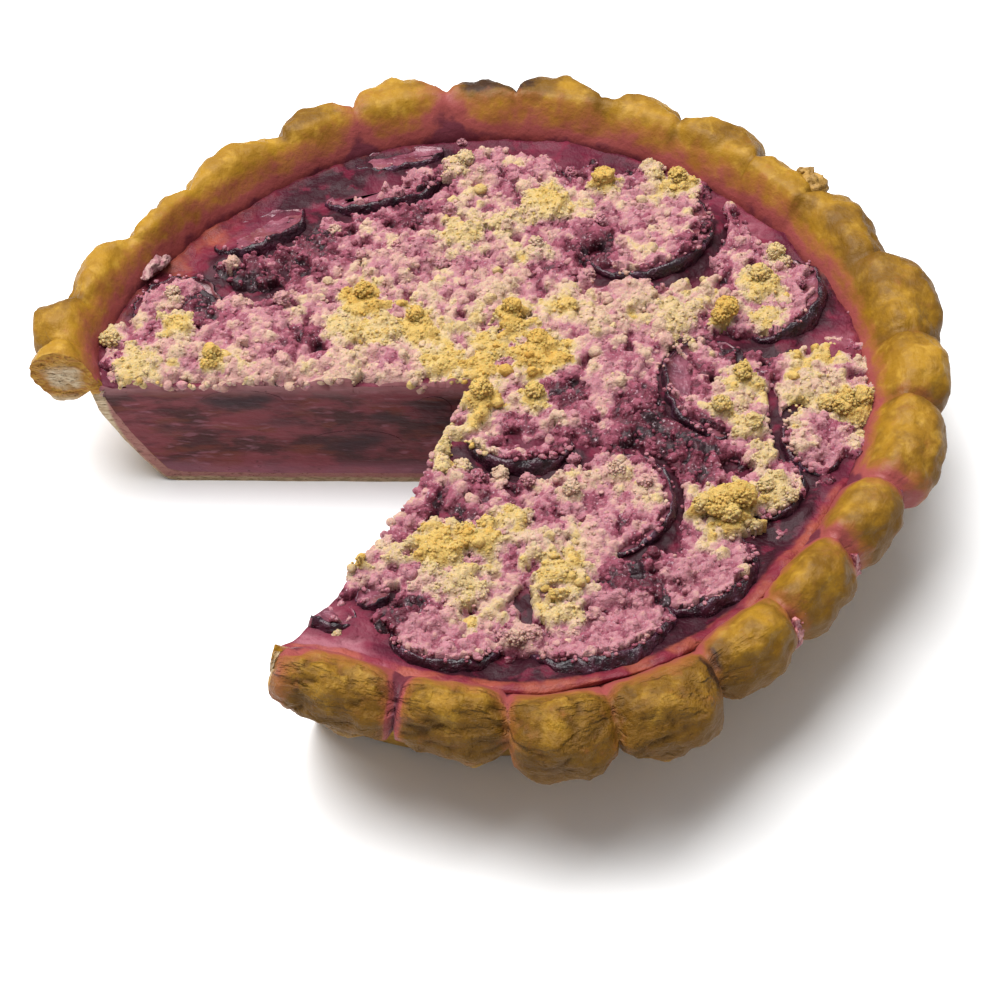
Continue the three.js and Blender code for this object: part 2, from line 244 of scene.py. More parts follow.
def rim_surface(share, turn):
    """A point of the rim: share counts lobes round the pie, turn goes round the rim's section.

    Past its top the section leaves the oval and slopes down to the filling without creases.
    """
    number = np.floor(share + 1e-6).astype(int) % len(lobe_end)
    across = 2 * (share - np.floor(share + 1e-6)) - 1
    other = (number + np.where(across < 0, -1, 1)) % len(lobe_end)
    azimuth = mix(lobe_start[number], lobe_end[number], 0.5 * (across + 1))
    swell = np.maximum(0, 1 - np.abs(across) ** 2.1) ** 0.58
    front = np.maximum(0, -np.sin(np.radians(azimuth)))
    behind = eased(-0.2, 0.5, np.sin(np.radians(azimuth)))
    swell = mix(swell, 1, eased(0.7, 1.7, turn) * (0.2 + 0.5 * behind))
    inner = inner_edge(azimuth) + 1.5 * (1 - swell)
    outer = mix(0.5 * (lobe_outer[number] + lobe_outer[other]) - 5.5, lobe_outer[number], swell)
    top = mix(CREASE_TOP, lobe_crown[number], swell) - 1.35 * front
    bottom = mix(CREASE_BOTTOM, LOBE_BOTTOM, swell) - 4.5 * front * swell
    middle = 0.5 * (outer + inner)
    down = np.clip((turn - math.pi / 2) / SLOPE_TURN, 0, 1)
    radius = np.where(down > 0, mix(middle, inner_edge(azimuth) - 1.8, down ** 0.92),
                      middle + 0.5 * (outer - inner) * np.cos(turn))
    height = np.where(down > 0, mix(top, FILLING_LINE, down ** 1.7),
                      0.5 * (top + bottom) + 0.5 * (top - bottom) * np.sin(turn))
    return azimuth, radius, height


def piece_of(bm, name, finishes):
    """Makes a bmesh that is drawn in mm a smooth piece in metres."""
    mesh = bpy.data.meshes.new(name)
    bm.to_mesh(mesh)
    bm.free()
    mesh.transform(Matrix.Scale(MM, 4))
    for finish in finishes:
        mesh.materials.append(finish)
    mesh.polygons.foreach_set("use_smooth", np.ones(len(mesh.polygons), bool))
    piece = bpy.data.objects.new(name, mesh)
    bpy.context.scene.collection.objects.link(piece)
    return piece


def coordinates(mesh):
    co = np.empty(3 * len(mesh.vertices))
    mesh.vertices.foreach_get("co", co)
    return co.reshape(-1, 3)


def spun(bm, line, steps):
    """Spins a chain of points round the axis, closes it there, and returns all the points."""
    edges = [bm.edges.new(pair) for pair in zip(line, line[1:])]
    bmesh.ops.spin(bm, geom=line + edges, cent=(0, 0, 0), axis=(0, 0, 1), angle=2 * math.pi,
                   steps=steps, use_merge=True, use_duplicate=False)
    poles = [v for v in bm.verts if math.hypot(v.co.x, v.co.y) < 0.01]
    bmesh.ops.remove_doubles(bm, verts=poles, dist=0.001)
    return np.array([v.co for v in bm.verts])


def move_points(bm, places):
    for v, place in zip(bm.verts, places):
        v.co = place


def note(mesh, name, values):
    """Writes a number at each vertex, for the finish to read."""
    layer = mesh.attributes.get(name) or mesh.attributes.new(name, "FLOAT", "POINT")
    layer.data.foreach_set("value", np.asarray(values, np.float32))


class Shade:
    """A value or colour in a finish, so that the finish can be written as formulas."""

    def __init__(self, finish, socket):
        self.finish = finish
        self.socket = socket

    def maths(self, operation, *values):
        return self.finish.node("ShaderNodeMath", {"operation": operation}, dict(enumerate(values)))

    def __add__(self, other):
        return self.maths("ADD", self, other)

    def __radd__(self, other):
        return self.maths("ADD", other, self)

    def __sub__(self, other):
        return self.maths("SUBTRACT", self, other)

    def __rsub__(self, other):
        return self.maths("SUBTRACT", other, self)

    def __mul__(self, other):
        return self.maths("MULTIPLY", self, other)

    def __rmul__(self, other):
        return self.maths("MULTIPLY", other, self)

    def __truediv__(self, other):
        return self.maths("DIVIDE", self, other)

    def __pow__(self, other):
        return self.maths("POWER", self, other)

    def rise(self, low, high):
        """0 where the value is below low, 1 above high."""
        return self.finish.node("ShaderNodeMapRange", {"interpolation_type": "SMOOTHSTEP"},
                                {"Value": self, "From Min": low, "From Max": high})


class Finish:
    """A material. node() adds any node: its type, its settings, then its inputs."""

    def __init__(self, name, **fixed):
        self.material = bpy.data.materials.new(name)
        self.material.use_nodes = True
        self.shader = self.material.node_tree.nodes["Principled BSDF"]
        for socket, value in fixed.items():
            self.shader.inputs[socket.replace("_", " ").title().replace("Ior", "IOR")].default_value = value

    def feed(self, node, socket, value):
        if isinstance(value, Shade):
            self.material.node_tree.links.new(value.socket, node.inputs[socket])
        elif isinstance(value, tuple) and node.inputs[socket].type == "RGBA":
            node.inputs[socket].default_value = (*value, 1)
        else:
            node.inputs[socket].default_value = value

    def node(self, kind, settings, inputs, out=0):
        made = self.material.node_tree.nodes.new(kind)
        for name, value in settings.items():
            setattr(made, name, value)
        for socket, value in inputs.items():
            self.feed(made, socket, value)
        return Shade(self, made.outputs[out])

    def place(self, x=1, y=1, z=1):
        """Object coordinates in mm, drawn out or pressed together along each axis."""
        where = self.node("ShaderNodeTexCoord", {}, {}, "Object")
        return self.scaled(where, x / MM, y / MM, z / MM)

    def scaled(self, place, *factors):
        return self.node("ShaderNodeVectorMath", {"operation": "MULTIPLY"}, {0: place, 1: factors})

    def along(self, place, axis):
        return self.node("ShaderNodeSeparateXYZ", {}, {0: place}, axis)

    def cloud(self, size, detail=2, place=None, rough=0.5):
        """Noise whose patches are about size mm across, from 0 to 1."""
        place = place or self.place()
        return self.node("ShaderNodeTexNoise", {}, {
            "Vector": place, "Scale": 1 / size, "Detail": detail, "Roughness": rough})

    def noted(self, name):
        return self.node("ShaderNodeAttribute", {"attribute_name": name}, {}, "Fac")

    def tint(self, share, a, b, how="MIX"):
        """Colour a where share is 0, b where it is 1."""
        settings = {"data_type": "RGBA", "blend_type": how}
        return self.node("ShaderNodeMix", settings, {0: share, 6: a, 7: b}, 2)

    def wear(self, colour, roughness, bump=None, depth=0, coat=0):
        """Gives the surface its colour, roughness, coat of gloss, and bumps up to depth mm."""
        self.feed(self.shader, "Base Color", colour)
        self.feed(self.shader, "Roughness", roughness)
        self.feed(self.shader, "Coat Weight", coat)
        if bump is not None:
            normal = self.node("ShaderNodeBump", {}, {"Distance": depth * MM, "Height": bump})
            self.feed(self.shader, "Normal", normal)
        return self.material


LAMP_SHARE = 0.76


def seen(red, green, blue):
    """A colour as it looks on a screen, as a surface's own under lamps brighter than full white."""
    shares = [c / 255 for c in (red, green, blue)]
    plain = [c / 12.92 if c < 0.0404 else ((c + 0.055) / 1.055) ** 2.4 for c in shares]
    return tuple(LAMP_SHARE * c for c in plain)


def baked_pastry():
    finish = Finish("baked_pastry", specular_ior_level=0.16, coat_roughness=0.35)
    browned_and_shade = finish.noted("browned_and_shade")
    stain = finish.noted("stain")
    flaky = finish.noted("flaky")
    around = finish.noted("around")
    over = finish.noted("over")
    sheet = finish.node("ShaderNodeCombineXYZ", {}, {"X": around, "Y": over})
    broad = finish.cloud(11, 3)
    fine = finish.cloud(2.6, 4, rough=0.6)
    colour = finish.tint(broad.rise(0.35, 0.66), seen(166, 121, 24), seen(138, 95, 14))
    colour = finish.tint(finish.cloud(4.5, 4).rise(0.52, 0.7) * 0.8, colour, seen(192, 148, 54))
    grain = finish.cloud(1.7, 4, rough=0.65)
    rough = 0.3 + 0.7 * flaky
    colour = finish.tint(grain.rise(0.5, 0.66) * 0.5 * rough, colour, seen(196, 156, 66))
    colour = finish.tint((1 - grain).rise(0.52, 0.68) * 0.5 * rough, colour, seen(104, 74, 18))
    # Painted highlight: the top of the rim, 43 to 50 mm up, is lightened where the light falls on it.
    crest = finish.along(finish.place(), "Z").rise(43, 50)
    colour = finish.tint(crest * 0.22, colour, seen(206, 158, 56))
    mottle = finish.cloud(7, 4, rough=0.6)
    # The browning note holds painted shade on the front and front-right lobes and painted light on the left
    # ones, so these darker patches and the darkest spots below are partly painted shade.
    baked = (browned_and_shade + 0.9 * mottle + 0.3 * fine - 0.6).rise(0.15, 0.6)
    colour = finish.tint(baked * 0.85, colour, seen(108, 72, 14))
    scorched_and_shaded = (browned_and_shade + 0.6 * fine - 0.3).rise(0.8, 1.15)
    colour = finish.tint(scorched_and_shaded, colour, seen(60, 36, 18))
    furrow = (finish.noted("furrow") + 0.5 * fine - 0.25).rise(0.2, 0.8)
    colour = finish.tint(furrow * 0.5, colour, seen(84, 56, 20))
    # Along the sheet of dough the layers are drawn out, with valleys and fine cracks between them.
    fold = finish.cloud(4.2, 3, finish.scaled(sheet, 0.35, 1, 1), rough=0.55)
    valley = (fold + 0.3 * fine - 0.15).rise(0.5, 0.66)
    crack = finish.cloud(2.6, 3, finish.scaled(sheet, 0.28, 1, 1), rough=0.55).rise(0.63, 0.68) * flaky
    colour = finish.tint(valley * flaky * 0.3, colour, seen(92, 62, 20))
    colour = finish.tint(crack * 0.12, colour, seen(64, 40, 16))
    # Juice turns the pastry orange, then pink, and dark red where most of it has run.
    patch = finish.cloud(6, 4, rough=0.6)
    damp = (stain + 1.1 * patch + 0.6 * fine - 0.85).rise(0.05, 0.55)
    colour = finish.tint(damp * 0.7, colour, seen(166, 100, 54))
    soaked = (stain + 0.9 * patch - 0.45).rise(0.42, 0.8)
    colour = finish.tint(soaked, colour, seen(160, 78, 74))
    steeped = (stain + 0.7 * patch - 0.35).rise(0.9, 1.15)
    colour = finish.tint(steeped, colour, seen(110, 48, 60))
    bump = (grain * 0.9 + finish.cloud(3, 3)) * rough - crack * 0.2 - valley * flaky * 0.7
    roughness = 0.38 + 0.24 * fine - 0.06 * stain
    return finish.wear(colour, roughness, bump, 0.9, coat=0.03 + 0.12 * stain)


def cut_pastry():
    finish = Finish("cut_pastry", specular_ior_level=0.3)
    place = finish.place(1, 1, 3)
    flakes = finish.cloud(2.2, 4, place)
    x, y, z = (finish.along(finish.place(), axis) for axis in ("X", "Y", "Z"))
    colour = finish.tint(flakes.rise(0.3, 0.7), seen(190, 160, 124), seen(226, 206, 172))
    pores = finish.cloud(1.3, 2, place).rise(0.6, 0.72)
    colour = finish.tint(pores * 0.6, colour, seen(134, 104, 58))
    low = 1 - z.rise(1.0, 4.5)
    colour = finish.tint(low * flakes.rise(0.35, 0.6) * 0.8, colour, seen(136, 108, 66))
    # Juice has soaked the inner half of the wall and of the base.
    radius = (x * x + y * y) ** 0.5
    deep = 90.2 + 0.41 * z + 0.012 * (z * (36 - z)) - radius
    soaked = (deep + 1.2 * flakes).rise(1.6, 2.8) * (z + 1.2 * flakes).rise(1.8, 3.0) * (1 - z.rise(33, 38))
    colour = finish.tint(soaked * 0.85, colour, seen(164, 100, 98))
    # The torn end of the rim keeps its golden skin round a pale core.
    core = 113.5 - 8.5 * x.rise(-80, -70)
    far = ((radius - core) * (radius - core) / 80 + (z - 42) * (z - 42) / 66) ** 0.5
    torn = (far + 1.1 * finish.cloud(5, 3) - 0.55).rise(0.3, 0.75) * z.rise(33, 36)
    golden = finish.tint(flakes.rise(0.4, 0.6), seen(196, 146, 56), seen(168, 112, 38))
    colour = finish.tint(torn, colour, golden)
    return finish.wear(colour, 0.75, flakes * 0.7 - pores * 0.6, 0.9)


def make_pastry_case():
    bm = bmesh.new()
    for name in ("turn", "furrow"):
        bm.verts.layers.float.new(name)
    turns, furrows = (bm.verts.layers.float[name] for name in ("turn", "furrow"))
    foot = [(0, 0), (45, 0), (80, 0), (BASE_RADIUS, 0), (89.4, 0.7), (WALL["foot"], WALL["foot_height"])]
    foot += [(float(wall_radius(z)), z) for z in (5, 8, 11, 14, 17, 20, 23, 26, 29)]
    inside = [(float(wall_radius(z)) - PASTRY_THICKNESS, z) for z in (35, 30, 24, 18, 12, 8, 5)]
    inside += [(r, PASTRY_THICKNESS) for r in (BASE_RADIUS - 2, 45, 0)]
    profile = [(r, z, OFF_RIM) for r, z in foot]
    profile += [(EVEN_EDGE, RIM_MIDDLE, turn) for turn in range(-144, 145, 6)]
    profile += [(r, z, OFF_RIM) for r, z in inside]
    # The rim's points start a hair apart, so that the spin doesn't merge them.
    line = []
    for place, (r, z, turn) in enumerate(profile):
        corner = bm.verts.new((r + 1e-4 * place * (turn > OFF_RIM), 0, z))
        corner[turns] = turn
        line.append(corner)
    co = spun(bm, line, len(lobe_end) * STEPS_PER_LOBE)
    turn = np.array([v[turns] for v in bm.verts])
    share = (np.degrees(np.arctan2(co[:, 1], co[:, 0])) % 360) / 360 * len(lobe_end)
    share = np.round(share * STEPS_PER_LOBE) / STEPS_PER_LOBE
    azimuth, radius, height = rim_surface(share, np.radians(turn))
    on_rim = turn > OFF_RIM
    plain = np.hypot(co[:, 0], co[:, 1])
    radius = np.where(on_rim, radius, plain + lean(azimuth, plain, co[:, 2]))
    height = np.where(on_rim, height, co[:, 2])
    east, north = np.cos(np.radians(azimuth)), np.sin(np.radians(azimuth))
    spot = np.stack([radius * east, radius * north, height], 1)
    outside = 1 - eased(95, 120, turn)
    front = eased(-50, -66, (azimuth - FIRST_CREASE) % 360 + FIRST_CREASE)
    sheet = np.stack([np.radians(azimuth) * 110 * 0.3, np.radians(turn) * 9, 0.15 * radius], 1)
    furrow = np.clip(1 - 4.5 * np.abs(relief(sheet, 5.5)), 0, 1) ** 2 * outside * (0.35 + 0.65 * front)
    swelling = relief(spot, 18, 1) * (1.5 + 0.8 * front) + relief(spot, 8) * 1.6 + relief(spot, 3.4) * 0.55
    swelling *= 0.35 + 0.65 * outside
    flakes = relief(sheet + 30, 2) * 0.3 * outside * (0.3 + 0.7 * front)
    swelling += flakes - 1.1 * furrow + 0.25 * outside
    level = np.cos(np.radians(turn))
    outward = np.stack([east * level, north * level, np.sin(np.radians(turn))], 1)
    spot += outward * (swelling * on_rim)[:, None]
    low, high = (np.array(corner) / MM for corner in cad_box)
    for axis in range(3):
        spot[:, axis] = held(spot[:, axis], high[axis] - 0.1)
    for axis in range(2):
        spot[:, axis] = held(spot[:, axis], low[axis] + 0.1)
    for v, depth in zip(bm.verts, furrow * on_rim):
        v[furrows] = depth
    wavy = (~on_rim) & (plain > BASE_RADIUS + 1) & (height > 3)
    spot[:, :2] *= 1 + (wavy * 0.35 * relief(spot, 14) / np.maximum(plain, 1))[:, None]
    move_points(bm, spot)
    bmesh.ops.recalc_face_normals(bm, faces=bm.faces)
    return piece_of(bm, "pastry_case", [baked_pastry(), cut_pastry()])


pastry_case = make_pastry_case()
part_at_slice(pastry_case)


# Spots on the rim that baked darker: azimuth, half width in degrees, amount
BROWNED = [
    (92, 6, 1.0), (84, 3, 0.6), (120, 6, 0.5), (147, 4, 0.4), (168, 3, 0.4),
    (-60.5, 1.6, 1.3), (170, 3, 0.3), (54, 5, 0.3), (30, 4, 0.3), (-75, 2, 0.3),
]
# Creases that the juice ran into: azimuth, half width in degrees, amount
JUICY_CREASES = [
    (-102.5, 1.3, 1.2), (-88, 1.0, 0.4), (-75, 1.0, 0.3), (-60.5, 0.8, 0.3), (-47, 1.6, 0.6),
    (-33, 2.0, 0.8), (-20, 2.2, 0.85), (-4, 1.2, 0.4), (97.5, 3, 0.55), (112, 2.5, 0.5), (-118, 2, 0.5),
]


def hump(value, centre, half):
    """1 at the centre, and fading to either side."""
    return np.exp(-(((value - centre) / half) ** 2))


def stain_pastry(piece):
    """Notes where the pastry is baked darker, where painted shade and light lie on it, where it is flaky or
    stained by plum juice, and its own sheet.
    """
    x, y, z = (coordinates(piece.data) / MM).T
    azimuth = (np.degrees(np.arctan2(y, x)) - FIRST_CREASE) % 360 + FIRST_CREASE
    radius = np.hypot(x, y)
    edge = inner_edge(azimuth)
    number = np.minimum(np.searchsorted(lobe_end, azimuth, side="right"), len(lobe_end) - 1)
    across = 2 * (azimuth - lobe_start[number]) / (lobe_end - lobe_start)[number] - 1
    outside = eased(edge + 3, edge + 16, radius)
    front = eased(-50, -66, azimuth)
    behind = eased(20, 75, azimuth)
    # The browning note also carries painted shade and light: the front and front-right lobes are darkened
    # as painted shade, and the lobes on the left are lightened as painted light. It is also darker towards
    # the creases, lower down on the outside, and on the lobes near 18 and 74 degrees.
    browned_and_shade = 0.15 + 0.3 * outside * eased(52, 36, z) + 0.3 * np.abs(across) ** 4 + 0.22 * front
    browned_and_shade += 0.22 * hump(azimuth, -34, 26) - 0.3 * eased(105, 130, azimuth)
    browned_and_shade += 0.3 * hump(azimuth, 18, 9) + 0.22 * hump(azimuth, 74, 8)
    on_top = eased(42, 48, z) * eased(edge + 2, edge + 8, radius)
    for centre, half, amount in BROWNED:
        browned_and_shade += amount * hump(azimuth, centre, half) * on_top
    browned_and_shade *= np.where(z < 33, 0.5, 1)
    wide = 4 + behind + 7.5 * front + 4 * hump(azimuth, 88, 12)
    stain = (0.56 + 0.16 * front) * eased(edge + wide, edge + 1, radius)
    stain += 0.5 * eased(edge + 0.8, edge - 1.8, radius)
    for crease, half, amount in JUICY_CREASES:
        stain += amount * hump(azimuth, crease, half) * eased(30, 36, z)
    note(piece.data, "browned_and_shade", np.clip(browned_and_shade, 0, 1.4))
    note(piece.data, "stain", np.clip(stain, 0, 1.3) * (radius > 90) * (z > 25))
    note(piece.data, "flaky", np.clip(0.15 + 0.85 * front, 0, 1) * eased(edge + 4, edge + 8, radius))
    note(piece.data, "around", np.radians(azimuth) * 110)
    note(piece.data, "over", np.arctan2(z - RIM_MIDDLE, radius - edge - 8) * 9)


stain_pastry(pastry_case)
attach(pastry_case, "root")
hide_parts("crust")


# The filling. Plum juice and custard set to a soft mauve body in the oven. Its top is wet and
# dark, and the cut shows streaks and the sunken pieces of plum.

CUSTARD_HEIGHT = 39
CUSTARD_FLOOR = 3.5
FILLING_STEPS = 450
# The plum halves lying in it: x, y, azimuth of the raised side, length, width, tilt, height, and the
# gap that the crumble leaves along the raised side. Over a wide gap the skin slumps outward.
PLUMS = [
    (-11, -82, 263, 28, 19, 16, 39.5, 4), (27, -79.5, 292, 38, 25, 24, 39.5, 8),
    (54, -61.5, 320, 29, 21, 20, 39.5, 6), (71, -34, 334, 22, 19, 18, 39.5, 2),
    (83.5, -17, 182, 24, 17, 17, 40, 1), (60, 1, 184, 36, 31, 11, 40, 0.8),
    (77, 34, 335, 33, 25, 20, 39.5, 5), (42, 59, 310, 41, 35, 12, 40.5, 3.5),
    (-31, 77, 288, 34, 15, 18, 39.5, 2), (-65, 61, 302, 28, 16, 20, 39.5, 3),
    (-27, 91, 283, 26, 8, 14, 39, 4), (-86, 32, 110, 24, 17, 15, 39.5, 3),
    (7, -17, 268, 29, 21, 18, 39.5, 5), (32, -39, 356, 34, 29, 14, 40, 2.5),
    (-42, -72, 244, 18, 11, 22, 39.5, 3), (-30, -69, 300, 9, 6, 22, 40.5, 2),
]


def custard_top(radius):
    return CUSTARD_HEIGHT - 1.8 * (radius / 101) ** 4


def wet_filling():
    finish = Finish("wet_filling", specular_ior_level=0.16, coat_roughness=0.1)
    juice = finish.noted("juice")
    swirl = finish.cloud(9, 4)
    streak = finish.cloud(3.5, 4, rough=0.6)
    # The juice note also holds painted shade beside the plum skins and along the inner left, so its darkest
    # colours are partly painted shade.
    level = juice + 0.7 * swirl + 0.5 * streak - 0.6
    colour = finish.tint(level.rise(0.0, 0.4), seen(164, 100, 112), seen(124, 50, 68))
    colour = finish.tint(level.rise(0.35, 0.7), colour, seen(92, 28, 48))
    colour = finish.tint(level.rise(0.7, 1.05), colour, seen(54, 14, 28))
    colour = finish.tint(finish.cloud(5, 3).rise(0.54, 0.68) * 0.55, colour, seen(126, 30, 58))
    reddened = (finish.noted("edge") + 0.9 * streak - 0.5).rise(0.1, 0.8)
    red = finish.tint(swirl.rise(0.4, 0.6), seen(168, 84, 64), seen(134, 40, 56))
    colour = finish.tint(reddened * 0.8, colour, red)
    bump = swirl * 2.6 + streak * 1.5 + finish.cloud(1.2, 2) * 0.2
    return finish.wear(colour, 0.4 + 0.3 * streak, bump, 0.8, coat=0.06 * juice)


def cut_filling(shadows):
    finish = Finish("cut_filling", specular_ior_level=0.18, coat_roughness=0.25)
    place = finish.place()
    drawn = finish.place(0.28, 0.28, 1)
    z = finish.along(place, "Z")
    streaks = finish.cloud(2.2, 4, drawn, rough=0.6)
    broad = finish.cloud(11, 4, finish.place(0.6, 0.6, 1.3), rough=0.6)
    patch = finish.cloud(7, 3, finish.place(0.5, 0.5, 1.5))
    colour = finish.tint(broad.rise(0.4, 0.58), seen(66, 18, 18), seen(128, 54, 62))
    colour = finish.tint(patch.rise(0.52, 0.66) * 0.7, colour, seen(112, 48, 30))
    colour = finish.tint(streaks.rise(0.5, 0.72) * 0.6, colour, seen(80, 30, 38))
    colour = finish.tint(finish.cloud(1.8, 3, drawn).rise(0.6, 0.72) * 0.4, colour, seen(170, 110, 126))
    colour = finish.tint((1 - (z + 6 * broad).rise(7, 13)) * 0.6, colour, seen(168, 104, 120))
    colour = finish.tint((z - 7 * broad).rise(30, 36) * 0.7, colour, seen(184, 124, 128))
    ragged = finish.cloud(5, 4, finish.place(0.6, 0.6, 1), rough=0.6)
    for *middle, half_width, half_height, depth in shadows:
        off = finish.node("ShaderNodeVectorMath", {"operation": "SUBTRACT"}, {0: place, 1: middle})
        off = finish.scaled(off, 1 / half_width, 1 / half_width, 1 / half_height)
        far = finish.node("ShaderNodeVectorMath", {"operation": "LENGTH"}, {0: off}, "Value")
        near = 1 - (far + 1.8 * ragged).rise(1.1, 2.3)
        colour = finish.tint(near * depth, colour, seen(52, 22, 32))
    specks = finish.cloud(1.4, 2, finish.place(0.7, 0.7, 1)).rise(0.68, 0.75)
    colour = finish.tint(specks * 0.55, colour, seen(74, 34, 40))
    bump = streaks * 0.8 + finish.cloud(1.2, 3, finish.place(0.5, 0.5, 1)) * 0.3
    return finish.wear(colour, 0.42 + 0.2 * streaks, bump, 0.7, coat=0.04)


# Pieces of plum that the first cut went through: x, y, z, half length, half width, half height
SUNKEN = [(-67, 5, 32.5, 12, 8, 5), (-37, 5, 16, 14, 8, 6), (-16, 5, 30, 6.5, 5, 6.5)]

# Dark places in the cut, over those pieces and between them: x, y, z, half width, half height, amount
filling_cut = cut_filling([
    (-67, 5, 32.5, 13, 3.6, 0.85), (-37, 5, 16, 13, 5.2, 0.75), (-16, 5, 30, 6, 5.5, 0.7),
    (-88, 3, 22, 4, 2.5, 0.45), (-56, 3, 24, 8, 1.8, 0.5), (-28, 3, 26, 7, 2.2, 0.5),
    (-12, 3, 20, 5, 6, 0.35),
])
# Where the filling has boiled up and set in mounds: x, y, radius, height
MOUNDS = [
    (92, 17, 7, 2.6), (87, -36, 7, 2.6), (80, -46, 5, 2), (72, -58, 6, 2), (94, 26, 5, 1.6),
    (40, -84, 6, 1.2), (-34, -80, 8, 1.4), (10, -92, 6, 1.6), (78, 58, 7, 1.4), (20, 92, 7, 1.2),
    (-36, 84, 8, 1.2), (-74, 52, 7, 1.2),
]


def turned_from(x, y, degrees):
    """Splits offsets into the parts along a direction and square to it."""
    turn = math.radians(degrees)
    return x * math.cos(turn) + y * math.sin(turn), y * math.cos(turn) - x * math.sin(turn)


def make_filling():
    bm = bmesh.new()
    profile = [(r, CUSTARD_FLOOR) for r in (0, 60, 85)]
    profile += [(float(wall_radius(z)) - CUSTARD_FLOOR, z) for z in (5, 8, 14, 20, 26, 32, 36)]
    profile += [(r, float(custard_top(r)) + 0.4) for r in (100.5, 99)]
    profile += [(r, float(custard_top(r))) for r in np.arange(97.5, 0, -1.4)] + [(0, CUSTARD_HEIGHT)]
    line = [bm.verts.new((r, 0, z)) for r, z in profile]
    co = spun(bm, line, FILLING_STEPS)
    radius = np.hypot(co[:, 0], co[:, 1])
    azimuth = np.degrees(np.arctan2(co[:, 1], co[:, 0]))
    scale = 1 + lean(azimuth, radius, co[:, 2]) / np.maximum(radius, 1)
    co[:, :2] *= scale[:, None]
    top = co[:, 2] > 34
    # Thick juice stands up against the skins of the plums.
    for x, y, raised, length, width, tilt, level, gap in PLUMS:
        out, side = turned_from(co[:, 0] - x, co[:, 1] - y, raised)
        far = np.hypot(2 * out / width, 2 * side / length)
        brim = level + width / 2 * math.sin(math.radians(tilt)) - 2.6 - 0.3 * gap
        bank = np.maximum(0, brim - co[:, 2]) * eased(0.0, 0.6, out / np.maximum(far * width / 2, 0.1))
        co[:, 2] += top * bank * np.exp(-((far - 1.05) * width / 7.5) ** 2)
    for x, y, size, rise in MOUNDS:
        near = np.exp(-((co[:, 0] - x) ** 2 + (co[:, 1] - y) ** 2) / size ** 2)
        co[:, 2] += top * near * (rise + 0.8 * relief(co + 40, 3))
    # It clings to the pastry, highest in front, where it ran onto the slope of the rim.
    reach = inner_edge(azimuth) - np.hypot(co[:, 0], co[:, 1])
    ahead = eased(0.3, 0.8, -np.sin(np.radians(azimuth)))
    climb = top * (1.2 + 5.2 * ahead) * np.exp(-np.maximum(reach, 0) / 2.6) * (1 + 0.25 * relief(co, 5))
    co[:, 2] += climb
    co[:, :2] *= (1 + 0.45 * climb * (reach < 1.5) / np.maximum(radius, 1))[:, None]
    co[:, 2] += top * (0.6 * relief(co + 9, 7) + 0.35 * relief(co + 23, 3.2))
    move_points(bm, co)
    bmesh.ops.recalc_face_normals(bm, faces=bm.faces)
    return piece_of(bm, "plum_filling", [wet_filling(), filling_cut])


plum_filling = make_filling()
part_at_slice(plum_filling)


# Streaks of juice on it: both ends, half width and amount, below zero where set custard shows pink
# The streak from (-96, 44) to (-70, 72) darkens the filling along the inner left, which lies in shade:
# painted shade.
JUICE = [
    (-44, -84, -14, -94, 9, -0.5), (-30, -76, -44, -76, 6, -0.3), (84, 14, 96, 20, 6, -0.25),
    (94, -36, 84, -46, 5, -0.25), (-96, 44, -70, 72, 8, 0.5), (-74, 58, -60, 70, 6, -0.3),
    (-56, 78, -36, 90, 5, 0.35), (8, -76, 8, -68, 4, 0.6), (-4, -30, 18, -32, 5, 0.4),
    (-90, 48, -78, 52, 5, -0.2), (-60, 71, -38, 80, 2.5, 0.7), (-40, 88, -14, 93, 3, 0.6),
    (-72, 49, -46, 61, 3, 0.5), (-102, 36, -62, 39, 4, 0.5), (-60, 44, -50, 48, 6, 0.3),
    (40, 84, 60, 78, 9, 0.3), (88, 34, 92, 44, 9, 0.3), (56, -24, 56, -14, 10, 0.4),
    (68, 10, 72, 18, 9, 0.45), (78, -44, 72, -52, 5, 0.25), (-38, -62, -30, -66, 8, 0.2),
    (50, -76, 66, -60, 5, 0.25), (-12, -96, 40, -90, 4, 0.5), (34, -94, 62, -74, 5, 0.5),
    (-14, -90, 22, -92, 2.6, 0.4), (48, 86, 74, 62, 5, -0.4), (90, 48, 98, 30, 4, -0.3),
    (-20, -96, -44, -88, 4, -0.3),
]


def mark_juice(piece):
    """Notes how dark the filling is painted, from its streaks and from painted shade beside the plum skins,
    and where it has reddened along the pastry.
    """
    x, y, _ = (coordinates(piece.data) / MM).T
    azimuth = np.degrees(np.arctan2(y, x))
    juice = np.full(len(x), 0.62)
    for *stretch, size, amount in JUICE:
        juice += amount * hump(from_stretch(x, y, *stretch), 0, size)
    # Beside the raised skins of the plums it is painted darkest: painted shade of the skins.
    for plum_x, plum_y, raised, length, width, tilt, level, gap in PLUMS:
        out, side = turned_from(x - plum_x, y - plum_y, raised)
        far = np.hypot(2 * out / width, 2 * side / length)
        beside = eased(-0.1, 0.4, 2 * out / (width * np.maximum(far, 0.1)))
        juice += 0.45 * hump(far * width, 1.1 * width, 6) * beside
    note(piece.data, "juice", np.clip(juice, 0, 1.1))
    reach = np.hypot(x, y) - inner_edge(azimuth)
    corner = hump(azimuth, 147, 16)
    reddened = np.maximum(0.9 * (y < -30), 0.35 + 0.3 * corner)
    note(piece.data, "edge", eased(-4.5 - 12 * corner, -1 - 4 * corner, reach) * reddened)


mark_juice(plum_filling)
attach(plum_filling, "root")
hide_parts("custard")


# Plum halves. They lie cut side up in the filling, half sunk and tilted, so that the raised side
# shows its dark wrinkled skin. The skin has curled over the edge of the flesh, which the juice
# has turned mauve.

PLUM_DEPTH = 12


